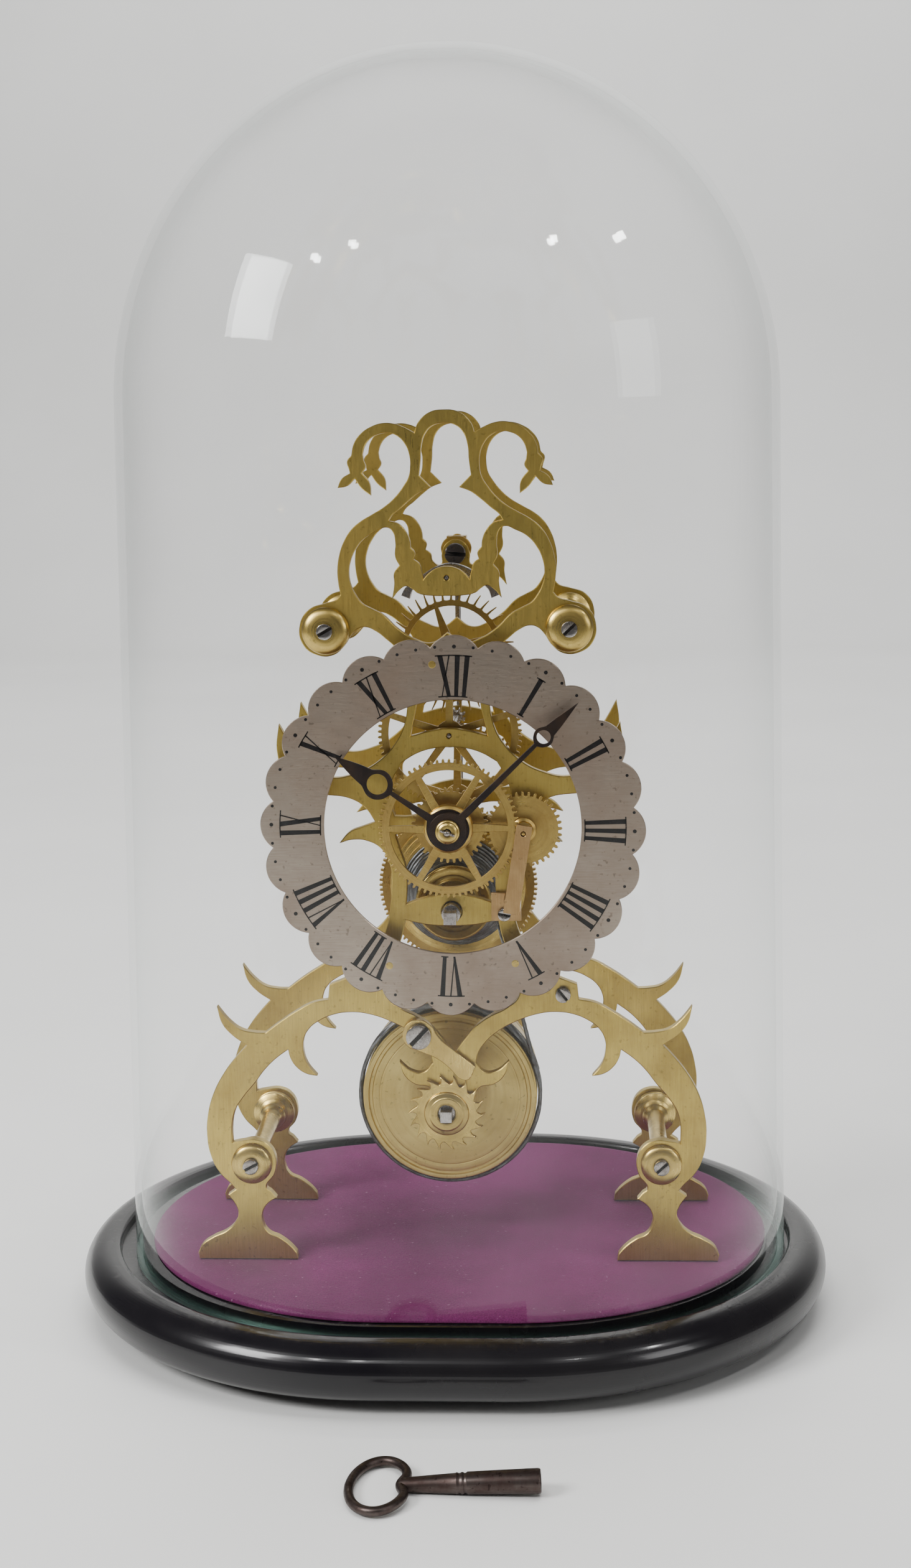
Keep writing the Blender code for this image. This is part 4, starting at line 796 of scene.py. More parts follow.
# ---------------------------------------------------------------- pierced plates
# each knot is (right, up, 1 at a corner or 0 where the edge runs smooth); right half only
CROWN = [(0, 137.7, 0), (4.6, 137.0, 0), (8.6, 133.6, 0), (9.9, 130.3, 1), (12.6, 131.8, 0),
         (16.4, 133.3, 0), (20.3, 133.6, 0), (24.3, 132.4, 0), (27.6, 130.2, 0),
         (29.9, 127.0, 0), (30.8, 123.2, 1)]
TASSEL = [(32.2, 121.4, 0), (31.6, 118.4, 0), (31.4, 117.4, 1), (34.2, 115.6, 0),
          (35.6, 112.6, 1), (32.4, 113.2, 0), (29.8, 115.6, 1), (27.8, 112.6, 0),
          (24.6, 110.0, 1), (25.0, 114.2, 0), (27.4, 117.4, 1),
          (26.2, 119.4, 0), (26.8, 121.4, 1)]
SCROLL = [(27.1, 123.4, 1), (26.3, 126.1, 0), (24.5, 128.5, 0), (21.6, 130.0, 0),
          (18.3, 130.3, 0), (15.4, 129.2, 0), (13.0, 126.6, 0), (11.6, 122.9, 0),
          (11.4, 119.6, 0), (12.0, 116.0, 0), (13.6, 113.2, 0), (16.6, 109.4, 0),
          (20.2, 106.3, 0), (24.2, 103.9, 0), (28.2, 101.6, 0), (31.4, 98.9, 0),
          (34.0, 94.9, 0), (35.6, 90.4, 0), (36.3, 85.6, 0), (36.0, 80.6, 0),
          (35.4, 77.4, 1), (37.0, 75.7, 0), (40.6, 74.6, 0)]
LUG = [(46.4, 72.4, 0), (49.4, 67.2, 0), (48.4, 60.8, 0), (44.0, 57.4, 0), (38.4, 57.2, 0),
       (34.4, 60.4, 0), (32.2, 63.8, 0), (30.0, 65.9, 0), (27.4, 66.5, 0), (23.9, 65.1, 0),
       (20.7, 62.6, 0), (17.4, 59.4, 0)]
NECK = [(14.8, 54.0, 0), (13.6, 46.0, 0), (13.9, 39.4, 0), (14.9, 33.9, 0), (17.6, 28.0, 0),
        (23.4, 21.6, 0), (31.0, 17.4, 0), (40.5, 15.8, 0), (47.0, 18.6, 0), (52.2, 25.0, 0),
        (57.4, 34.0, 1), (58.2, 24.6, 0), (55.0, 15.0, 0), (49.0, 10.4, 0), (42.0, 9.8, 0)]
THORN = [(34.0, 8.6, 0), (29.0, 5.6, 0), (25.4, 0.4, 1), (30.0, -1.2, 0), (34.2, -2.9, 0),
         (37.8, -6.8, 1), (33.0, -5.6, 0), (28.2, -6.1, 0), (23.6, -8.8, 0)]
SIDE = [(20.8, -14.0, 0), (20.2, -20.0, 0), (20.8, -28.0, 0), (22.6, -37.0, 0),
        (27.2, -46.0, 0), (34.0, -52.4, 0), (42.4, -56.2, 1), (43.0, -61.4, 1)]
HORN = [(48.8, -62.7, 0), (54.4, -65.7, 0), (60.0, -69.4, 0), (65.0, -73.2, 1),
        (69.0, -73.0, 0), (73.4, -72.0, 0), (77.2, -69.2, 0), (81.6, -63.8, 1),
        (79.9, -70.0, 0), (76.4, -74.2, 0), (71.6, -77.6, 1)]
LEG = [(75.6, -82.0, 0), (79.9, -87.6, 0), (83.6, -94.4, 0), (86.0, -102.6, 0),
       (86.5, -110.0, 0), (85.5, -117.0, 0), (82.6, -123.4, 0), (78.6, -127.7, 0)]
FOOT = [(77.0, -129.6, 1), (79.8, -131.6, 1), (77.4, -135.0, 0), (76.4, -138.2, 0),
        (77.6, -141.6, 0), (80.8, -144.8, 0), (85.4, -147.0, 0), (89.6, -150.0, 0),
        (91.0, -152.8, 1), (90.6, -155.0, 1), (55.8, -155.0, 1), (56.2, -152.6, 1),
        (58.2, -150.2, 0), (62.0, -147.2, 0), (66.2, -145.0, 0), (67.9, -141.4, 0),
        (67.8, -138.0, 0), (66.0, -134.8, 0), (62.8, -132.6, 1), (64.6, -130.4, 1),
        (66.2, -128.9, 0)]
BOSS = [(63.2, -123.8, 0), (62.6, -118.6, 0), (64.8, -113.8, 0), (69.0, -111.6, 0),
        (74.2, -111.9, 0), (77.6, -112.6, 1)]
SHIN = [(77.6, -107.0, 0), (76.4, -101.2, 0), (73.2, -96.0, 0), (69.2, -91.2, 0),
        (65.6, -86.4, 0), (61.6, -82.4, 0), (57.3, -79.2, 1), (56.6, -82.2, 0),
        (54.4, -85.6, 0), (51.2, -87.8, 0), (47.4, -88.6, 1), (50.6, -84.4, 0),
        (51.9, -80.2, 0), (51.8, -75.8, 0), (49.8, -71.8, 0), (46.2, -68.9, 0),
        (41.4, -66.8, 0), (35.4, -65.9, 0), (29.0, -66.6, 0), (22.0, -69.0, 0),
        (15.4, -72.6, 0), (10.9, -76.6, 0), (8.4, -80.4, 0), (7.4, -84.0, 1)]
PENDANT = [(10.6, -87.2, 0), (14.6, -86.8, 0), (18.8, -83.4, 1), (17.2, -88.4, 0),
           (13.4, -91.6, 0), (8.8, -92.6, 0), (7.2, -96.0, 0), (7.4, -102.0, 0),
           (5.4, -106.6, 0), (0, -108.4, 0)]

HEART = [(0, 133.3, 0), (3.6, 132.6, 0), (6.2, 130.2, 0), (7.6, 126.2, 0), (8.0, 121.0, 0),
         (8.6, 116.4, 1), (4.6, 112.4, 1), (8.4, 110.9, 0), (11.4, 108.7, 0),
         (14.9, 105.7, 0), (17.8, 103.3, 0), (18.8, 101.6, 1), (15.6, 100.6, 0),
         (13.2, 98.0, 0), (12.0, 95.0, 0), (11.8, 92.8, 1), (10.4, 91.0, 0), (10.8, 88.8, 1),
         (9.0, 87.4, 0), (8.2, 84.6, 0), (7.7, 82.2, 1), (6.0, 84.1, 0), (3.2, 85.8, 0),
         (0, 86.4, 0)]
BACK_HEART = HEART[:20] + [(5.6, 83.4, 0), (5.0, 87.4, 0), (3.4, 90.9, 0), (0, 92.2, 0)]
SCREEN = [(0, 76.6, 0), (5.0, 76.7, 0), (9.6, 77.6, 0), (11.4, 79.0, 0), (13.4, 80.0, 0),
          (15.8, 78.6, 0), (18.2, 75.8, 1), (17.4, 80.8, 0), (17.4, 84.4, 0), (15.6, 86.9, 1),
          (16.9, 89.6, 0), (16.8, 94.4, 0), (17.6, 98.0, 0), (19.4, 99.4, 0),
          (23.0, 98.2, 0), (27.0, 96.0, 0), (30.2, 92.2, 0), (32.0, 88.0, 0),
          (32.5, 84.2, 0), (31.8, 80.2, 0), (30.2, 76.9, 0), (28.0, 74.2, 0),
          (25.1, 72.6, 0), (21.4, 70.6, 0), (16.6, 66.0, 0), (11.0, 62.4, 0), (5.4, 61.0, 0),
          (0, 64.4, 1)]
COLLAR = [(0, 50.2, 0), (5.6, 48.2, 0), (9.6, 44.4, 0), (11.0, 38.6, 0), (12.9, 29.7, 1),
          (6.2, 31.4, 0), (0, 32.2, 0)]
HEAD = [(0, 25.8, 0), (4.4, 25.6, 0), (10.4, 24.0, 0), (16.0, 20.8, 1), (19.6, 14.0, 0),
        (20.6, 8.0, 0), (18.8, 2.4, 1), (13.4, 2.4, 0), (6.0, 4.4, 0), (0, 5.2, 0)]
TRUNK = [(0, -4.6, 0), (6.0, -4.0, 0), (13.0, -3.0, 0), (18.6, -4.0, 1), (17.2, -9.0, 0),
         (15.4, -15.0, 0), (15.0, -21.4, 0), (15.4, -28.0, 1), (8.8, -25.8, 0),
         (0, -24.4, 0)]
BELLY = [(0, -35.6, 0), (8.0, -35.2, 0), (15.8, -33.6, 1), (17.4, -40.4, 0),
         (20.6, -47.8, 0), (23.0, -54.0, 0), (22.4, -60.6, 0), (18.0, -64.6, 0),
         (12.6, -67.3, 0), (8.0, -70.6, 0), (4.2, -75.0, 0), (0, -80.6, 1)]
EDGE = CROWN + TASSEL + SCROLL + LUG + NECK + THORN + SIDE + HORN + LEG + FOOT + BOSS + SHIN


def plate(name, cad_node, heart, holes, finish):
    """A pierced plate sawn from sheet, its outline and openings mirrored about its middle."""
    back, front = ahead(cad_node)
    loops = [mirrored(half) for half in (EDGE + PENDANT, heart, SCREEN, COLLAR, HEAD, TRUNK,
                                         BELLY)]
    loops += [circle(*at) for at in holes]
    return piece(name, [flat(loops, front - back, back, 0.28, 9)], finish, "frame",
                 [cad_node])


def pillar_places():
    """(corner name, right, up) of the four pillars."""
    return [(corner, *middle("pillar_" + corner))
            for corner in ("upper_left", "upper_right", "lower_left", "lower_right")]


class CLOCK_OT_plates(bpy.types.Operator):
    """The two pierced brass frame plates"""
    bl_idname = "clock.plates"
    bl_label = "Frame plates"

    def execute(self, context):
        pillar_holes = [(x, y, 2.1) for _, x, y in pillar_places()]
        front = [(*THIRD, 0.9), (*ESCAPE, 0.9), (0, 0, 1.9), (*FUSEE, 3.5), (*BARREL, 3.2),
                 (*PALLET, 0.9), (*middle("plate_screw"), 1.1), (*middle("cock_screw"), 1.1),
                 (*CLICK, 1.3)]
        back = [(*THIRD, 0.9), (*ESCAPE, 0.9), (0, 0, 1.3), (*FUSEE, 1.9), (*BARREL, 2.4),
                (*PALLET, 1.4), (*middle("suspension_screw"), 1.6)]
        hairline = plate_brass("plate_brass_hairline")
        plate("front_plate_sawn", "front_plate", HEART, pillar_holes + front, hairline)
        plate("back_plate_sawn", "back_plate", BACK_HEART, pillar_holes + back, hairline)
        return {"FINISHED"}


class CLOCK_OT_pillars(bpy.types.Operator):
    """Turned pillars, domed washers and every frame screw"""
    bl_idname = "clock.pillars"
    bl_label = "Pillars and screws"

    def execute(self, context):
        # Painted shade, with old oil and dust, for the floors of the screws' slots.
        shade_and_grime = slot_shade_and_grime("slot_shade_and_grime")
        for corner, x, y in pillar_places():
            low, high = ahead("pillar_" + corner)
            half, mid = (high - low) / 2, (high + low) / 2
            end = [(7.6, half), (7.6, half - 0.8), (7.1, half - 1.0), (7.1, half - 1.5),
                   (7.6, half - 1.8), (7.6, half - 3.1), (5.4, half - 4.1),
                   (4.1, half - 5.0), (4.6, half - 6.0), (4.8, half - 6.8),
                   (4.6, half - 7.6), (3.5, half - 8.6), (3.2, half - 9.8),
                   (3.05, half * 0.4)]
            profile = [(0, half), *end, *[(r, -h) for r, h in reversed(end)], (0, -half)]
            brass = turned_brass("turned_brass_" + corner, (x, y))
            piece("pillar_turned_" + corner, [moved(turned(profile, 64), x, y, mid)], brass,
                  "frame", ["pillar_" + corner])

            low, high = ahead("washer_" + corner)
            rim = (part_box("washer_" + corner)[1].x - CENTRE.x) / MM - x
            bulge = high - low
            angle = np.linspace(0, UP, 12)
            domed = [(3.0 + (rim - 3.0) * sin(a), 0.5 + (bulge - 0.5) * cos(a) ** 0.85)
                     for a in angle[:-1]]
            profile = [(1.9, bulge), *domed, (rim, 0.45), (rim, 0), (1.9, 0)]
            piece("washer_domed_" + corner,
                  [moved(turned(profile, 72, 0.1, ring=True), x, y, low)], brass, "frame",
                  ["washer_" + corner])

            low, high = ahead("screw_front_" + corner)
            slot_turn = 0.5 if x < 0 else 0.75
            piece("screw_slotted_" + corner,
                  placed(screw_head(2.7, 1.6, shank_long=high - low - 1.6), x, y, high - 1.6,
                         slot_turn), steel("steel_polished"), "frame",
                  ["screw_front_" + corner], shade_and_grime=shade_and_grime)
            low, high = ahead("screw_back_" + corner)
            piece("screw_rear_" + corner,
                  placed(screw_head(3.2, 1.8, shank_long=high - low - 1.8), x, y, low + 1.8,
                         0.4, behind=True), steel("steel_polished"), "frame",
                  ["screw_back_" + corner], shade_and_grime=shade_and_grime)

        for cad_node, head, thick, slot_turn, finish, material in (
                ("plate_screw", 2.6, 1.7, -0.9, steel, "polished_steel"),
                ("cock_screw", 2.2, 1.5, -0.2, steel, "polished_steel"),
                ("click_screw", 4.3, 2.0, 0.80, steel, "polished_steel"),
                ("suspension_screw", 3.7, 5.0, -0.1, dark_steel, "dark_steel")):
            x, y = middle(cad_node)
            low, high = ahead(cad_node)
            name = "steel_polished" if finish is steel else "steel_dark"
            piece(cad_node + "_slotted",
                  placed(screw_head(head, thick, 0.8, high - low - thick), x, y,
                         high - thick, slot_turn), finish(name), "frame",
                  [cad_node], shade_and_grime=shade_and_grime)
        return {"FINISHED"}


# ---------------------------------------------------------------- dial and hands
STROKES = {
    "I": (2.9, [((-0.74, 0.0), (0.74, 0.0), (0.74, 1.0), (-0.74, 1.0))], [0.0], [0.0]),
    "V": (4.9, [((-2.05, 1.0), (-0.55, 1.0), (0.60, 0.0), (-0.20, 0.0)),
                ((1.25, 1.0), (1.68, 1.0), (0.32, 0.0), (-0.06, 0.0))], [-1.3, 1.45], []),
    "X": (4.9, [((-2.0, 1.0), (-0.5, 1.0), (2.0, 0.0), (0.5, 0.0)),
                ((1.28, 1.0), (1.70, 1.0), (-1.28, 0.0), (-1.70, 0.0))], [-1.25, 1.49],
          [-1.49, 1.25]),
}
HOURS = ("XII", "I", "II", "III", "IIII", "V", "VI", "VII", "VIII", "IX", "X", "XI")
SERIF = 0.030
SERIF_HALF = 1.42


def numeral_shapes(foot, head):
    """Every stroke and serif of the twelve numerals as four-cornered outlines.

    A point (across, share) of a glyph goes to radius foot + share (head - foot), and turns
    from its hour by across / the middle radius, feet to the centre.
    """
    shapes = []
    hours = []
    for hour, letters in enumerate(HOURS):
        wide = sum(STROKES[letter][0] for letter in letters)
        start = -wide / 2
        for letter in letters:
            advance, strokes, heads, feet = STROKES[letter]
            mid = start + advance / 2
            for stroke in strokes:
                shapes.append([(mid + x, y) for x, y in stroke])
            for x, low in [(x, 1 - SERIF) for x in heads] + [(x, 0.0) for x in feet]:
                shapes.append([(mid + x - SERIF_HALF, low), (mid + x + SERIF_HALF, low),
                               (mid + x + SERIF_HALF, low + SERIF),
                               (mid + x - SERIF_HALF, low + SERIF)])
            start += advance
        hours += [hour] * (len(shapes) - len(hours))
    glyphs = np.array(shapes)
    radius = foot + glyphs[..., 1] * (head - foot)
    angle = UP - np.array(hours)[:, None] * pi / 6 - glyphs[..., 0] / ((foot + head) / 2)
    return np.stack([radius * np.cos(angle), radius * np.sin(angle)], -1)


class CLOCK_OT_dial(bpy.types.Operator):
    """The silvered chapter ring on its feet, with waxed numerals and minute dots"""
    bl_idname = "clock.dial"
    bl_label = "Chapter ring"

    def execute(self, context):
        dial = context.scene.clock_dial
        right, up = middle("dial")
        back, front = ahead("dial")
        thick = 1.4
        outer = (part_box("dial")[1].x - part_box("dial")[0].x) / 2 / MM
        lobe_radius = outer * 0.146
        sweep = np.linspace(-1, 1, 15)[:-1] * radians(57.2)
        lobe = outer - lobe_radius + lobe_radius * np.exp(1j * sweep)
        turns = np.exp(1j * (UP + 2 * pi * np.arange(dial.lobes) / dial.lobes))
        edge = (turns[:, None] * lobe[None]).ravel()
        ring = flat([np.column_stack([edge.real, edge.imag]),
                     circle(0, 0, dial.inner, 180)], thick, front - thick, 0.22)
        feet = []
        rivets = []
        for bearing, reach in ((97.5, 55.1), (-64.8, 50.8), (-113.6, 52.0)):
            at = (reach * cos(radians(bearing)), reach * sin(radians(bearing)))
            feet.append(turned([(0, front - 0.7), (1.4, front - 0.7), (1.4, back + 1.2),
                                (1.9, back + 1.0), (1.9, back), (0, back)], 28, 0.15, at=at))
            rivets.append(turned([(0, front + 0.03), (1.1, front + 0.03), (1.25, front),
                                  (1.25, front - 0.5), (0, front - 0.5)], 28, 0.02, at=at))
        piece("dial_silvered", [moved(shape, right, up, 0, dial.turn) for shape in
                                [ring, *feet]], silvered("dial_silvering"), "frame",
              ["dial"])
        piece("dial_rivets", [moved(shape, right, up, 0, dial.turn) for shape in rivets],
              turned_brass("turned_brass_rivets", (right, up)), "frame")
        glyphs = prisms(numeral_shapes(dial.numeral_foot, dial.numeral_head),
                        front - 0.3, front + 0.04)
        wax = black_wax("numeral_wax")
        piece("dial_numerals", [moved(glyphs, right, up, 0, dial.turn)], wax, "frame")
        angle = np.arange(60) * pi / 30
        size = np.where(np.arange(60) % 5 == 0, 0.66, 0.52)
        ring_of = np.exp(1j * (UP - angle))[:, None] * (outer - 3.8)
        dots = ring_of + size[:, None] * np.exp(1j * np.linspace(0, 2 * pi, 14)[:-1])
        spots = prisms(np.stack([dots.real, dots.imag], -1), front - 0.3, front + 0.035)
        piece("dial_minute_dots", [moved(spots, right, up, 0, dial.turn)], wax, "frame")
        return {"FINISHED"}


def hand(hub, bore, ring_at, ring_outer, ring_inner, length, thick, back):
    """A hand pointing up: a hub, a slender stem, a round eye and a lance tip, cut through."""
    swell = ring_outer * 0.62
    half = [(0, length, 1), (swell * 0.75, ring_at + ring_outer + 3.6, 0),
            (swell, ring_at + ring_outer * 0.82, 1),
            (ring_outer, ring_at, 0), (ring_outer * 0.72, ring_at - ring_outer * 0.72, 0),
            (0.7, ring_at - ring_outer - 0.4, 1), (1.25, hub + 0.6, 1),
            (hub * 0.72, hub * 0.72, 0), (hub, 0, 0), (hub * 0.72, -hub * 0.72, 0),
            (0, -hub, 0)]
    return flat([mirrored(half), circle(0, ring_at, ring_inner, 40), circle(0, 0, bore, 32)],
                thick, back, 0.14, 9)


class CLOCK_OT_hands(bpy.types.Operator):
    """Blacked steel hands with their collet, pin and arbor"""
    bl_idname = "clock.hands"
    bl_label = "Hands"

    def execute(self, context):
        dial = context.scene.clock_dial
        black = blacked_steel("steel_blacked")
        back, front = ahead("minute_hand")
        piece("minute_hand_blacked",
              [moved(hand(6.2, 1.3, 44.8, 3.4, 2.3, 61.0, front - back, back),
                     turn=dial.minute_turn)], black, "centre",
              ["minute_hand"])
        back, front = ahead("hour_hand")
        piece("hour_hand_blacked",
              [moved(hand(7.0, 3.2, 28.0, 5.1, 3.5, 45.0, front - back, back),
                     turn=dial.hour_turn)], black, "hour", ["hour_hand"])
        back, front = ahead("hand_collet")
        profile = [(1.3, front), (2.5, front - 0.05), (3.3, front - 0.5), (3.45, front - 1.0),
                   (3.9, front - 1.25), (4.1, front - 1.6), (4.1, back), (1.3, back)]
        piece("hand_collet_turned", [turned(profile, 64, 0.12, ring=True)],
              turned_brass("turned_brass_collet", (0, 0)), "centre",
              ["hand_collet"])
        return {"FINISHED"}


# ---------------------------------------------------------------- wheels and arbors
def pair(distance, wheel_count, pinion_count):
    """Pitch radii of a meshing wheel and pinion, and their module."""
    module = 2 * distance / (wheel_count + pinion_count)
    return module * wheel_count / 2, module * pinion_count / 2, module


GREAT_TEETH, CENTRE_LEAVES = 96, 8
CENTRE_TEETH, THIRD_LEAVES = 76, 8
THIRD_TEETH, ESCAPE_LEAVES = 78, 7
ESCAPE_TEETH = 40
CANNON_TEETH = MINUTE_TEETH = 36
HOUR_TEETH, MINUTE_LEAVES = 72, 6
RATCHET_TEETH = 18

GREAT = pair(-FUSEE[1], GREAT_TEETH, CENTRE_LEAVES)
SECOND = pair(THIRD[1], CENTRE_TEETH, THIRD_LEAVES)
LAST = pair(ESCAPE[1] - THIRD[1], THIRD_TEETH, ESCAPE_LEAVES)
MOTION_TURN = atan2(MINUTE[1], MINUTE[0])
MOTION = pair(hypot(*MINUTE), MINUTE_TEETH, CANNON_TEETH)
HOUR = pair(hypot(*MINUTE), HOUR_TEETH, MINUTE_LEAVES)


def wheel(cad_node, loops, at, body, chamfer=0.10, extra=(), finish=None, low=None,
          high=None):
    """A crossed wheel in its CAD node's place, with anything turned up on it."""
    back, front = ahead(cad_node)
    back = back if low is None else low
    front = front if high is None else high
    shapes = [flat(loops, front - back, back, chamfer), *extra]
    return piece(cad_node + "_cut", [moved(shape, *at) for shape in shapes],
                 finish or wheel_brass("wheel_brass_" + cad_node, at), body,
                 [cad_node])


def arbor(cad_node, at, body, profile, leaf_loop=None, leaf_from=0.0, leaf_to=0.0, extra=()):
    """A steel arbor turned to its profile, with the pinion cut on it."""
    shapes = [turned(profile, 36, 0.12), *extra]
    if leaf_loop is not None:
        shapes.append(flat([leaf_loop], leaf_to - leaf_from, leaf_from, 0.10))
    return piece(cad_node + "_turned", [moved(shape, *at) for shape in shapes],
                 steel("steel_polished"), body, [cad_node])


def pivoted(radius, pivot, front, back, front_run=3.4, back_run=3.6):
    """An arbor's profile between two pivots, each with a shallow rounded end."""
    return [(0, front), (pivot, front - 0.15), (pivot, front - front_run),
            (radius, front - front_run - 0.3), (radius, back + back_run + 0.3),
            (pivot, back + back_run), (pivot, back + 0.15), (0, back)]


class CLOCK_OT_motion_work(bpy.types.Operator):
    """Hour, cannon and minute wheels, the minute wheel's cock and the brass bush"""
    bl_idname = "clock.motion_work"
    bl_label = "Motion work"

    def execute(self, context):
        radius, small, module = HOUR
        teeth = wheel_teeth(HOUR_TEETH, radius, module, MOTION_TURN + pi / HOUR_TEETH)
        hub = [(4.0, 12.6), (5.6, 12.5), (6.9, 12.1), (7.9, 11.4), (8.3, 10.5), (8.3, 9.4),
               (5.6, 8.6), (3.9, 7.4), (3.9, 7.0), (3.1, 7.0), (3.1, 12.6)]
        wheel("hour_wheel",
              [teeth, *crossings(6, 8.2, radius - 3.3, 2.4, 2.0, 0.0), circle(0, 0, 3.1)],
              (0, 0), "hour", extra=[turned(hub, 64, 0.12, ring=True)], low=9.6, high=10.8)

        radius, _, module = MOTION
        pipe = [(2.7, 15.2), (2.7, 3.0), (1.8, 3.0), (1.8, 15.2)]
        wheel("cannon_wheel",
              [wheel_teeth(CANNON_TEETH, radius, module, MOTION_TURN), circle(0, 0, 1.8)], (0, 0),
              "centre", extra=[turned(pipe, 40, 0.1, ring=True)], low=3.4, high=4.6)
        hub = [(0, 12.2), (0.65, 12.1), (0.65, 11.0), (1.15, 11.0), (1.15, 7.4), (3.0, 7.1),
               (3.2, 6.2), (4.2, 5.6), (4.2, 3.0), (0.7, 3.0), (0.7, 0.5), (0, 0.5)]
        hour_module = HOUR[2]
        wheel("minute_wheel",
              [wheel_teeth(MINUTE_TEETH, radius, module, MOTION_TURN + pi + pi / MINUTE_TEETH)],
              MINUTE, "minute",
              extra=[turned(hub, 48, 0.1),
                     flat([leaves(MINUTE_LEAVES, small, hour_module, MOTION_TURN + pi)], 3.7, 7.3, 0.1)],
              low=3.4, high=4.6)
        softened("minute_wheel_cock_filed", "minute_wheel_cock",
                 metal("cock_brass_coppery", (0.58, 0.38, 0.17), (0.36, 0.21, 0.08), 0.32,
                       grain=(1.0, 1.0, 0.06), patch=80.0), "frame", 0.35)
        back, front = ahead("centre_bush")
        profile = [(2.2, front), (4.0, front), (5.4, front - 0.3), (6.6, front - 0.8),
                   (7.5, front - 1.5), (8.0, back), (2.2, back)]
        piece("centre_bush_turned", [turned(profile, 72, 0.3, ring=True)],
              turned_brass("turned_brass_bush", (0, 0)), "frame",
              ["centre_bush"])
        return {"FINISHED"}


class CLOCK_OT_train(bpy.types.Operator):
    """Great, centre, third and escape wheels with their arbors and pinions"""
    bl_idname = "clock.train"
    bl_label = "Going train"

    def execute(self, context):
        radius, small, module = GREAT
        wheel("great_wheel", [wheel_teeth(GREAT_TEETH, radius, module, UP), circle(0, 0, 3.6)],
              FUSEE, "fusee", 0.12)
        pin = np.linspace(-2.6, 2.6, 9)
        lean = radians(-20)
        path = np.column_stack([pin * cos(lean), pin * sin(lean), np.full(9, 19.4)])
        arbor("centre_arbor", (0, 0), "centre",
              [(0, 20.6), (0.7, 20.5), (1.0, 20.1), (1.0, 15.1), (1.4, 15.1), (1.4, -58.0),
               (1.0, -58.0), (1.0, -63.0), (0, -63.0)],
              leaves(CENTRE_LEAVES, small, module, DOWN + pi / CENTRE_LEAVES), -48.0, -42.0,
              [tube(path, np.linspace(0.40, 0.50, 9), 14)])

        radius, small, module = SECOND
        wheel("centre_wheel", [wheel_teeth(CENTRE_TEETH, radius, module, UP),
                               *crossings(5, 5.0, radius - 3.4, 2.6, 2.2, UP),
                               circle(0, 0, 1.7)], (0, 0), "centre")
        arbor("third_arbor", THIRD, "third", pivoted(1.3, 0.65, -0.4, -63.2),
              leaves(THIRD_LEAVES, small, module, DOWN + pi / THIRD_LEAVES), -54.0, -48.0)

        radius, small, module = LAST
        wheel("third_wheel", [wheel_teeth(THIRD_TEETH, radius, module, UP),
                              *crossings(5, 4.6, radius - 3.2, 2.4, 2.0, UP),
                              circle(0, 0, 1.6)], THIRD, "third")
        arbor("escape_arbor", ESCAPE, "escape", pivoted(1.2, 0.65, -0.4, -63.2),
              leaves(ESCAPE_LEAVES, small, module, DOWN + pi / ESCAPE_LEAVES), -9.0, -4.2)
        teeth = around(ESCAPE_TEETH, [
            (-0.42, 17.5), (-0.16, 17.7), (-0.15, 19.2), (-0.20, 21.6), (-0.10, 21.6),
            (0.06, 19.2), (0.14, 17.7), (0.42, 17.5)], UP)
        wheel("escape_wheel", [teeth, *crossings(4, 4.0, 15.6, 3.6, 1.4, radians(18.8)),
                               circle(0, 0, 1.5)], ESCAPE, "escape", 0.07)
        return {"FINISHED"}


# ---------------------------------------------------------------- fusee, line and barrel
def fusee_radius(share):
    """Radius of the fusee's groove floor, from 0 at the small front end to 1 at the back."""
    return 11.6 + 2.0 * share + 8.6 * share ** 2


def fusee_forward(share):
    """Place along the fusee of that share, in mm forward of the front plate."""
    back, front = ahead("fusee")
    return front - 2.4 - (front - back - 4.4) * share


LINE_SHARE = 0.10
LINE_LAST = 0.80
BARREL_RADIUS = 30.8
CLEAR = 0.30


def line_ends(line):
    """Where the straight run leaves the fusee and meets the barrel, and its lean.

    The run touches both circles on the right, so both ends lie at the angle whose cosine is
    the difference of the radii over the distance, measured from the line of centres.
    """
    top_radius = fusee_radius(LINE_SHARE) + CLEAR + line
    foot_radius = BARREL_RADIUS + CLEAR + line
    across, rise = FUSEE[0] - BARREL[0], FUSEE[1] - BARREL[1]
    lean = atan2(rise, across) - np.arccos((foot_radius - top_radius) / hypot(across, rise))
    return top_radius, foot_radius, lean


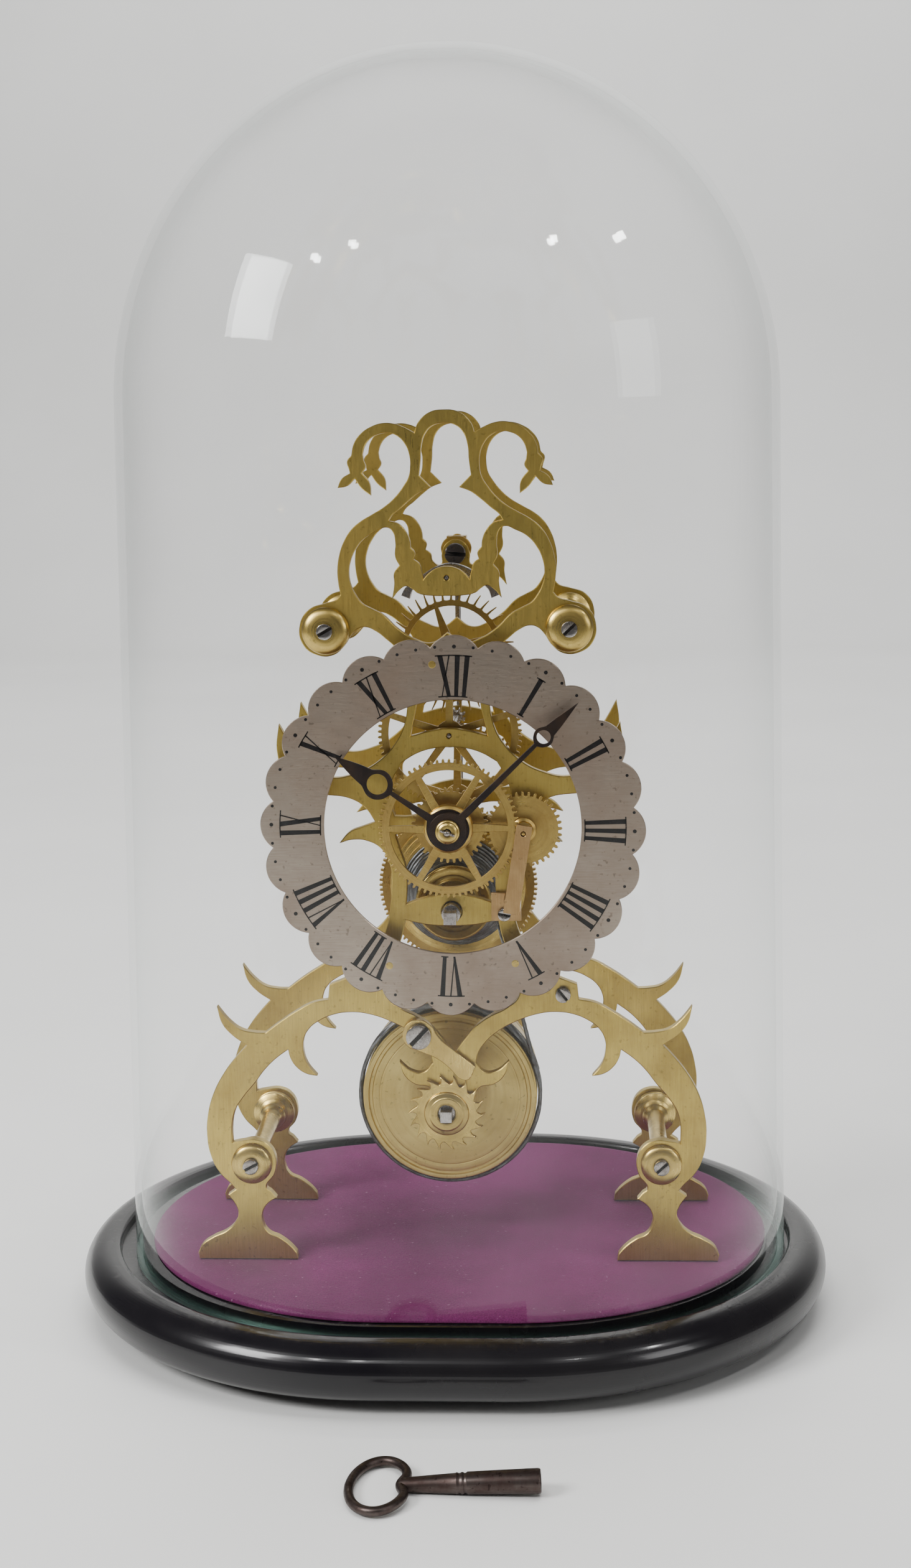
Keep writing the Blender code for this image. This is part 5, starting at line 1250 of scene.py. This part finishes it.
class CLOCK_OT_fusee(bpy.types.Operator):
    """The fusee cone with its stranded line, arbor and winding square"""
    bl_idname = "clock.fusee"
    bl_label = "Fusee and line"

    def execute(self, context):
        train = context.scene.clock_train
        back, front = ahead("fusee")
        share = np.linspace(0, LINE_LAST + 0.02, 120)
        groove = 0.35 * np.abs(np.sin(pi * train.fusee_turns * share))
        cone = np.column_stack([fusee_radius(share) - groove, fusee_forward(share)])
        shoulder = [(20.6, cone[-1, 1] - 0.1), (20.6, cone[-1, 1] - 1.2),
                    (19.6, cone[-1, 1] - 1.5), (19.6, back + 3.3), (22.6, back + 3.0),
                    (22.6, back + 2.3), (21.9, back + 1.9)]
        head = [(3.6, front), (5.2, front), (5.5, front - 0.35), (8.0, front - 0.35),
                (8.3, front), (8.9, front - 0.7), (9.7, front - 0.7), (10.2, front),
                (12.4, front), (12.9, front - 0.25), (13.2, front - 0.6),
                (13.2, front - 2.1)]
        profile = [*head, *cone, *shoulder, (24.2, back + 1.8), (24.4, back), (3.6, back)]
        piece("fusee_turned", [moved(turned(profile, 96, 0.12, ring=True), *FUSEE)],
              turned_brass("turned_brass_fusee", FUSEE), "fusee", ["fusee"])

        top_radius, foot_radius, lean = line_ends(train.line)
        run = np.linspace(0, 1, train.fusee_turns * 48)
        share = LINE_SHARE + (LINE_LAST - LINE_SHARE) * run
        angle = lean + 2 * pi * train.fusee_turns * run
        radius = fusee_radius(share) + CLEAR + train.line
        coil = np.column_stack([radius * np.cos(angle), radius * np.sin(angle),
                                fusee_forward(share)])
        piece("line_on_fusee_stranded",
              [moved(tube(coil, train.line, 12, strands=6), *FUSEE)],
              line_steel("line_strands"), "fusee", ["line_on_fusee"])

        angle = lean - 2 * pi * np.linspace(0, train.barrel_turns, train.barrel_turns * 72)
        first = fusee_forward(LINE_SHARE)
        depth = first - 2.8 - np.linspace(0, 1.6 * train.barrel_turns, len(angle))
        coil = np.column_stack([foot_radius * np.cos(angle), foot_radius * np.sin(angle),
                                depth])
        piece("line_on_barrel_stranded",
              [moved(tube(coil, train.line, 12, strands=6), *BARREL)],
              line_steel("line_strands"), "going_barrel", ["line_on_barrel"])
        share = np.linspace(0, 1, 90)[:, None]
        way = np.array([cos(lean), sin(lean)])
        top = np.array([*(np.array(FUSEE) + top_radius * way), first])
        foot = np.array([*(np.array(BARREL) + foot_radius * way), first - 1.2])
        piece("line_run_stranded",
              [tube(top + (foot - top) * share, train.line, 12, strands=6)],
              line_steel("line_strands"), "frame", ["line_run"])

        square = box((-2.1, -2.1, 3.9), (2.1, 2.1, 12.3))
        arbor("fusee_arbor", FUSEE, "fusee",
              [(0, 5.0), (3.2, 5.0), (3.2, -50.0), (1.6, -50.0), (1.6, -62.6), (0, -62.6)],
              extra=[square])
        return {"FINISHED"}


class CLOCK_OT_barrel(bpy.types.Operator):
    """The going barrel with cap, mainspring, set-up ratchet and click"""
    bl_idname = "clock.barrel"
    bl_label = "Going barrel"

    def execute(self, context):
        back, front = ahead("barrel_cap")
        low = ahead("barrel_drum")[0]
        rim = BARREL_RADIUS
        matt = matt_brass("barrel_brass_matt", BARREL)
        cap = [(3.3, front), (24.6, front), (24.8, front - 0.12), (25.0, front),
               (27.2, front), (27.5, front - 0.8), (28.5, front - 0.8), (28.8, front),
               (30.1, front), (30.3, front - 0.25), (30.3, back), (3.3, back)]
        piece("barrel_cap_turned", [moved(turned(cap, 128, 0.06, ring=True), *BARREL)], matt,
              "going_barrel", ["barrel_cap"])
        edge = front - 1.6
        drum = [(rim, edge), (rim, low + 3.0), (rim - 0.25, low + 2.7), (rim, low + 2.4),
                (rim, low), (3.3, low), (3.3, low + 1.8), (rim - 1.5, low + 1.8),
                (rim - 1.5, edge)]
        piece("barrel_drum_turned", [moved(turned(drum, 128, 0.15, ring=True), *BARREL)],
              turned_brass("turned_brass_barrel", BARREL), "going_barrel",
              ["barrel_drum"])
        run = np.linspace(0, 1, 300)
        at = 8 * pi * run
        reach = 12.0 + 16.4 * run
        strip = [np.column_stack([(reach + side) * np.cos(at), (reach + side) * np.sin(at)])
                 for side in (0.7, -0.7)]
        spring_back, spring_front = ahead("mainspring")
        spring = flat([np.vstack([strip[0], strip[1][::-1]])], spring_front - spring_back,
                      spring_back, 0.15)
        piece("mainspring_coiled", [moved(spring, *BARREL)], dark_steel("steel_dark"),
              "going_barrel", ["mainspring"])

        square = box((-1.95, -1.95, 0.2), (1.95, 1.95, 7.0))
        arbor("barrel_arbor", BARREL, "frame",
              [(0, 1.8), (2.9, 1.8), (2.9, -54.0), (2.1, -54.0), (2.1, -62.8), (0, -62.8)],
              extra=[square])
        hooks = around(RATCHET_TEETH, [
            (0.0, 13.3), (-0.10, 11.7), (0.02, 10.6), (0.20, 10.3), (0.40, 10.7),
            (0.62, 11.6), (0.84, 12.6)])
        hub = [(3.3, 3.6), (5.6, 3.6), (6.0, 3.3), (7.4, 3.1), (7.8, 2.4), (8.0, 0.6),
               (3.3, 0.6)]
        wheel("barrel_ratchet", [hooks, circle(0, 0, 3.3)], BARREL, "frame", 0.16,
              [turned(hub, 64, 0.2, ring=True)],
              turned_brass("turned_brass_ratchet", BARREL), 0.4, 2.3)

        edge = [(-5.6, 0.6, 0), (-3.6, 4.4, 0), (0.4, 5.7, 0), (4.2, 3.6, 0), (6.6, -0.4, 0),
                (12.6, -5.6, 0), (19.2, -11.0, 1), (16.9, -15.4, 0), (15.6, -15.8, 1),
                (13.4, -15.0, 1), (9.6, -10.8, 0), (5.6, -7.8, 0), (0.4, -5.6, 0),
                (-4.0, -3.6, 0)]
        back, front = ahead("click")
        pawl = flat([edge, circle(0, 0, 1.6)], front - back, back, 0.2, 10)
        piece("click_filed", [moved(pawl, *CLICK)],
              metal("click_brass_bright", (0.66, 0.49, 0.15), (0.44, 0.30, 0.08), 0.30,
                    grain=(1.0, 1.0, 0.08), patch=90.0), "click", ["click"])
        return {"FINISHED"}


# ---------------------------------------------------------------- escapement and pendulum
def upright(mesh, forward):
    """The mesh with its turning axis stood upright, at a place forward of the plate."""
    mesh.transform(Matrix.Translation((0, 0, forward * MM)) @ Matrix.Rotation(DOWN, 4, "X"))
    return mesh


class CLOCK_OT_escapement(bpy.types.Operator):
    """Pallets, crutch, suspension, pendulum and rating nut"""
    bl_idname = "clock.escapement"
    bl_label = "Escapement and pendulum"

    def execute(self, context):
        half = [(0, 3.4, 0), (4.6, 2.4, 0), (10.6, -1.2, 0), (15.4, -4.6, 0), (17.0, -7.4, 1),
                (14.0, -8.6, 1), (12.6, -5.2, 0), (7.4, -2.4, 0), (0, -3.4, 0)]
        back, front = ahead("pallet_anchor")
        anchor = flat([mirrored(half), circle(0, 0, 1.25)], front - back, back, 0.25, 9)
        polished = steel("steel_polished")
        piece("pallet_anchor_filed", [moved(anchor, *PALLET)], polished, "pallets",
              ["pallet_anchor"])
        softened("crutch_arbor_filed", "crutch_arbor", polished, "pallets",
                 0.15)
        low, high = ahead("suspension_cock")
        cheek_half = [(0, 93.4, 0), (3.4, 92.6, 0), (5.2, 90.4, 0), (5.4, 87.9, 0),
                      (4.4, 85.9, 0), (3.0, 85.4, 1)]
        cheek = flat([mirrored(cheek_half)], 2.6, high - 2.6, 0.3, 8)
        arm = box((-3.5, 89.2, low), (3.5, 93.2, high - 2.0))
        boss = turned([(0, low + 3.4), (2.6, low + 3.4), (2.6, low + 0.2), (0, low + 0.2)],
                      40, 0.3, at=(0, 91.2))
        piece("suspension_cock_filed", [cheek, arm, boss],
              wheel_brass("wheel_brass_cock", PALLET), "frame",
              ["suspension_cock"])
        low, high = ahead("suspension_spring")
        spring_low, spring_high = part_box("suspension_spring")
        x = PENDULUM[0]
        top = (spring_high.z - CENTRE.z) / MM
        foot = (spring_low.z - CENTRE.z) / MM
        slit = [(x - 0.5, foot + 2.2), (x + 0.5, foot + 2.2), (x + 0.5, top - 2.4),
                (x - 0.5, top - 2.4)]
        strip = flat([[(x - 1.6, foot), (x + 1.6, foot), (x + 1.6, top), (x - 1.6, top)],
                      slit], high - low, low, 0.05)
        piece("suspension_spring_slit", [strip], polished, "frame",
              ["suspension_spring"])

        low, high = ahead("pendulum_rod")
        mid = (low + high) / 2
        rod_low, rod_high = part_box("pendulum_rod")
        top = (rod_high.z - CENTRE.z) / MM
        foot = (rod_low.z - CENTRE.z) / MM
        block = flat([[(x - 2.0, top - 3.8), (x - 1.2, top - 4.6), (x + 1.2, top - 4.6),
                       (x + 2.0, top - 3.8), (x + 2.0, top), (x - 2.0, top)]], high - low,
                     low, 0.25)
        thread = [(0.93 + 0.07 * abs(cos(60 * share)), foot + 0.4 + 8.0 * share)
                  for share in np.linspace(0, 1, 60)[::-1]]
        rod = upright(turned([(0, top - 3.9), (1.0, top - 4.0), (1.0, foot + 8.8), *thread,
                              (0.6, foot), (0, foot)], 28, 0.05), mid)
        piece("pendulum_rod_drawn", [block, rod], polished, "pendulum",
              ["pendulum_rod"])
        x, y = middle("pendulum_bob")
        radius = (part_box("pendulum_bob")[1].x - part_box("pendulum_bob")[0].x) / 2 / MM
        face = [(radius * share, 0.5 + 4.1 * (1 - share ** 2) ** 1.1)
                for share in np.linspace(0, 0.97, 22)]
        profile = [*face, (radius - 0.2, 0.55), (radius, 0.35), (radius, -0.35),
                   (radius - 0.2, -0.55), *[(r, -h) for r, h in reversed(face)]]
        piece("pendulum_bob_turned", [moved(turned(profile, 112, 0.08), x, y, mid)],
              turned_brass("turned_brass_bob", (x, y)), "pendulum",
              ["pendulum_bob"])
        x, y = middle("rating_nut")
        knurl = around(40, [(0.0, 4.2), (0.30, 4.18), (0.5, 3.95), (0.70, 4.18)])
        nut = [flat([knurl, circle(0, 0, 1.3)], 1.5, -0.75, 0.15),
               turned([(1.3, 1.3), (3.3, 1.3), (3.7, 0.9), (3.7, -0.9), (3.3, -1.3),
                       (1.3, -1.3)], 48, 0.1, ring=True)]
        piece("rating_nut_knurled", [moved(upright(shape, 0), x, y, mid) for shape in nut],
              turned_brass("turned_brass_nut", (x, y)), "rating_nut",
              ["rating_nut"])
        return {"FINISHED"}


# ---------------------------------------------------------------- winding key
class CLOCK_OT_key(bpy.types.Operator):
    """The iron winding key that lies in front of the base"""
    bl_idname = "clock.key"
    bl_label = "Winding key"

    def execute(self, context):
        low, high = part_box("winding_key")
        bow_half, bow_tube, rest = 9.0, 1.5, 2.03
        place = (Matrix.Translation((low.x + (bow_half + bow_tube) * MM,
                                     (low.y + high.y) / 2, rest * MM))
                 @ Matrix.Rotation(radians(-1.0), 4, "Z")
                 @ Matrix.Rotation(radians(-3.0), 4, "Y"))
        at = np.linspace(0, 2 * pi, 97)[:-1]
        across = 15.8 * np.sin(at)
        pinch = np.where(np.cos(at) > 0, 2.6 * np.exp(-(across / 4.5) ** 2), 0.0)
        bow = tube(np.column_stack([bow_half * np.cos(at) - pinch, across,
                                    np.zeros(len(at))]), bow_tube, 18, closed=True)
        angle = np.linspace(0, 2 * pi, 49)[:-1]
        rings = [(5.6, 0.0), (6.2, 1.6), (6.6, 2.1), (10.0, 2.3), (17.0, 2.7), (23.0, 3.0),
                 (23.4, 3.2), (24.0, 2.95), (24.4, 2.95), (24.8, 3.2), (25.3, 3.2),
                 (25.7, 2.9), (26.1, 2.95), (26.6, 3.3), (36.0, 3.5), (47.6, 3.7),
                 (48.1, 3.6), (48.4, 3.35)]
        radius = np.array([[reach] * len(angle) for _, reach in rings])
        square = 1.9 / np.maximum(np.abs(np.cos(angle)), np.abs(np.sin(angle)))
        radius = np.vstack([radius, square, square, 0 * square])
        along = np.array([place_x for place_x, _ in rings] + [48.3, 38.5, 38.5])
        grid = np.stack([np.broadcast_to(along[:, None], radius.shape),
                         radius * np.cos(angle), radius * np.sin(angle)], -1)
        shank = grid_mesh(grid, wrap_v=True)
        for shape in (bow, shank):
            shape.transform(place)
        piece("winding_key_forged", [bow, shank], iron("key_iron"), "winding_key",
              ["winding_key"], face_on=False)
        return {"FINISHED"}


# ---------------------------------------------------------------- studio
def soft_light(name, place, aim, size, power, mirrored_in_glass=True):
    """A rectangular light turned to face a point."""
    lamp = bpy.data.lights.new(name, "AREA")
    lamp.shape = "RECTANGLE"
    lamp.size, lamp.size_y = size
    lamp.energy = power
    holder = bpy.data.objects.new(name, lamp)
    holder.location = place
    holder.rotation_euler = (Vector(aim) - Vector(place)).to_track_quat("-Z", "Y").to_euler()
    holder.visible_glossy = mirrored_in_glass
    bpy.context.scene.collection.objects.link(holder)


class CLOCK_OT_stage(bpy.types.Operator):
    """Pale floor and backdrop in one sweep, soft lights, surroundings and camera"""
    bl_idname = "clock.stage"
    bl_label = "Studio"

    def execute(self, context):
        studio = context.scene.clock_studio
        bend, wall_at, wide = 0.5, 2.8, 5.0
        sweep = np.linspace(0, UP, 24)
        profile = [(-3.0, 0.0), (wall_at - bend, 0.0)]
        profile += [(wall_at - bend + bend * sin(a), bend - bend * cos(a)) for a in sweep[1:]]
        profile.append((wall_at, 3.0))
        depth, height = np.array(profile).T
        across = np.linspace(-wide, wide, 9)
        grid = np.empty((len(depth), len(across), 3))
        grid[..., 0] = across
        grid[..., 1] = depth[:, None]
        grid[..., 2] = height[:, None]
        cove = grid_mesh(grid[::-1] / MM)
        cove.shade_smooth()
        cove.materials.append(floor_paper("floor_pale"))
        floor = bpy.data.objects.new("studio_cove", cove)
        bpy.context.scene.collection.objects.link(floor)

        soft_light("light_left", (-1.05, -0.75, 0.95), (0, 0, 0.18), (0.5, 0.5),
                   studio.key_power)
        soft_light("light_top", (0.0, 0.0, 1.45), (0, 0, 0.1), (1.2, 0.9), studio.top_power,
                   mirrored_in_glass=False)
        soft_light("light_right", (1.2, -0.8, 0.6), (0, 0, 0.2), (0.45, 0.45),
                   studio.fill_power)

        soft_light("light_backdrop", (0, 1.3, 2.3), (0, 2.6, 0.35), (2.4, 0.6),
                   studio.backdrop_power, mirrored_in_glass=False)
        for k, place in enumerate(((-0.62, -1.05, 1.25), (-0.30, -1.25, 1.45),
                                   (0.55, -1.00, 1.35), (0.95, -0.45, 1.20))):
            soft_light("light_lamp_" + str(k + 1), place, (0, 0, 0.2), (0.07, 0.05), 2.2)

        room = bpy.data.worlds.new("studio_room")
        room.use_nodes = True
        room.node_tree.nodes["Background"].inputs["Color"].default_value = (
            *studio.surround, 1.0)
        context.scene.world = room

        lens = bpy.data.cameras.new("camera")
        lens.lens = 50.0
        lens.sensor_fit = "VERTICAL"
        lens.sensor_height = 36.0
        lens.clip_start = 0.02
        camera = bpy.data.objects.new("camera", lens)
        camera.location = (0.04489, -0.76369, 0.31231)
        camera.rotation_euler = (radians(80.772), radians(0.876), radians(3.003))
        context.scene.collection.objects.link(camera)
        context.scene.camera = camera
        return {"FINISHED"}


STEPS = (CLOCK_OT_base, CLOCK_OT_dome, CLOCK_OT_plates, CLOCK_OT_pillars, CLOCK_OT_dial,
         CLOCK_OT_hands, CLOCK_OT_motion_work, CLOCK_OT_train, CLOCK_OT_fusee,
         CLOCK_OT_barrel, CLOCK_OT_escapement, CLOCK_OT_key, CLOCK_OT_stage)
SETTINGS = {"clock_stand": ClockStand, "clock_dial": ClockDial, "clock_train": ClockTrain,
            "clock_studio": ClockStudio}


class CLOCK_PT_pieces(bpy.types.Panel):
    """Lists every group of pieces and the sizes behind them"""
    bl_idname = "CLOCK_PT_pieces"
    bl_label = "Skeleton Clock"
    bl_space_type = "VIEW_3D"
    bl_region_type = "UI"
    bl_category = "Clock"

    def draw(self, context):
        for step in STEPS:
            self.layout.operator(step.bl_idname)
        for name, group in SETTINGS.items():
            column = self.layout.column(heading=group.__doc__)
            for key in group.__annotations__:
                column.prop(getattr(context.scene, name), key)


def register():
    for group in SETTINGS.values():
        bpy.utils.register_class(group)
    for name, group in SETTINGS.items():
        setattr(bpy.types.Scene, name, PointerProperty(type=group))
    for step in (*STEPS, CLOCK_PT_pieces):
        bpy.utils.register_class(step)


def unregister():
    for step in reversed((*STEPS, CLOCK_PT_pieces)):
        bpy.utils.unregister_class(step)
    for name in SETTINGS:
        delattr(bpy.types.Scene, name)
    for group in reversed(SETTINGS.values()):
        bpy.utils.unregister_class(group)


def main():
    register()
    for step in STEPS:
        family, action = step.bl_idname.split(".")
        getattr(getattr(bpy.ops, family), action)()


if __name__ == "__main__":
    main()
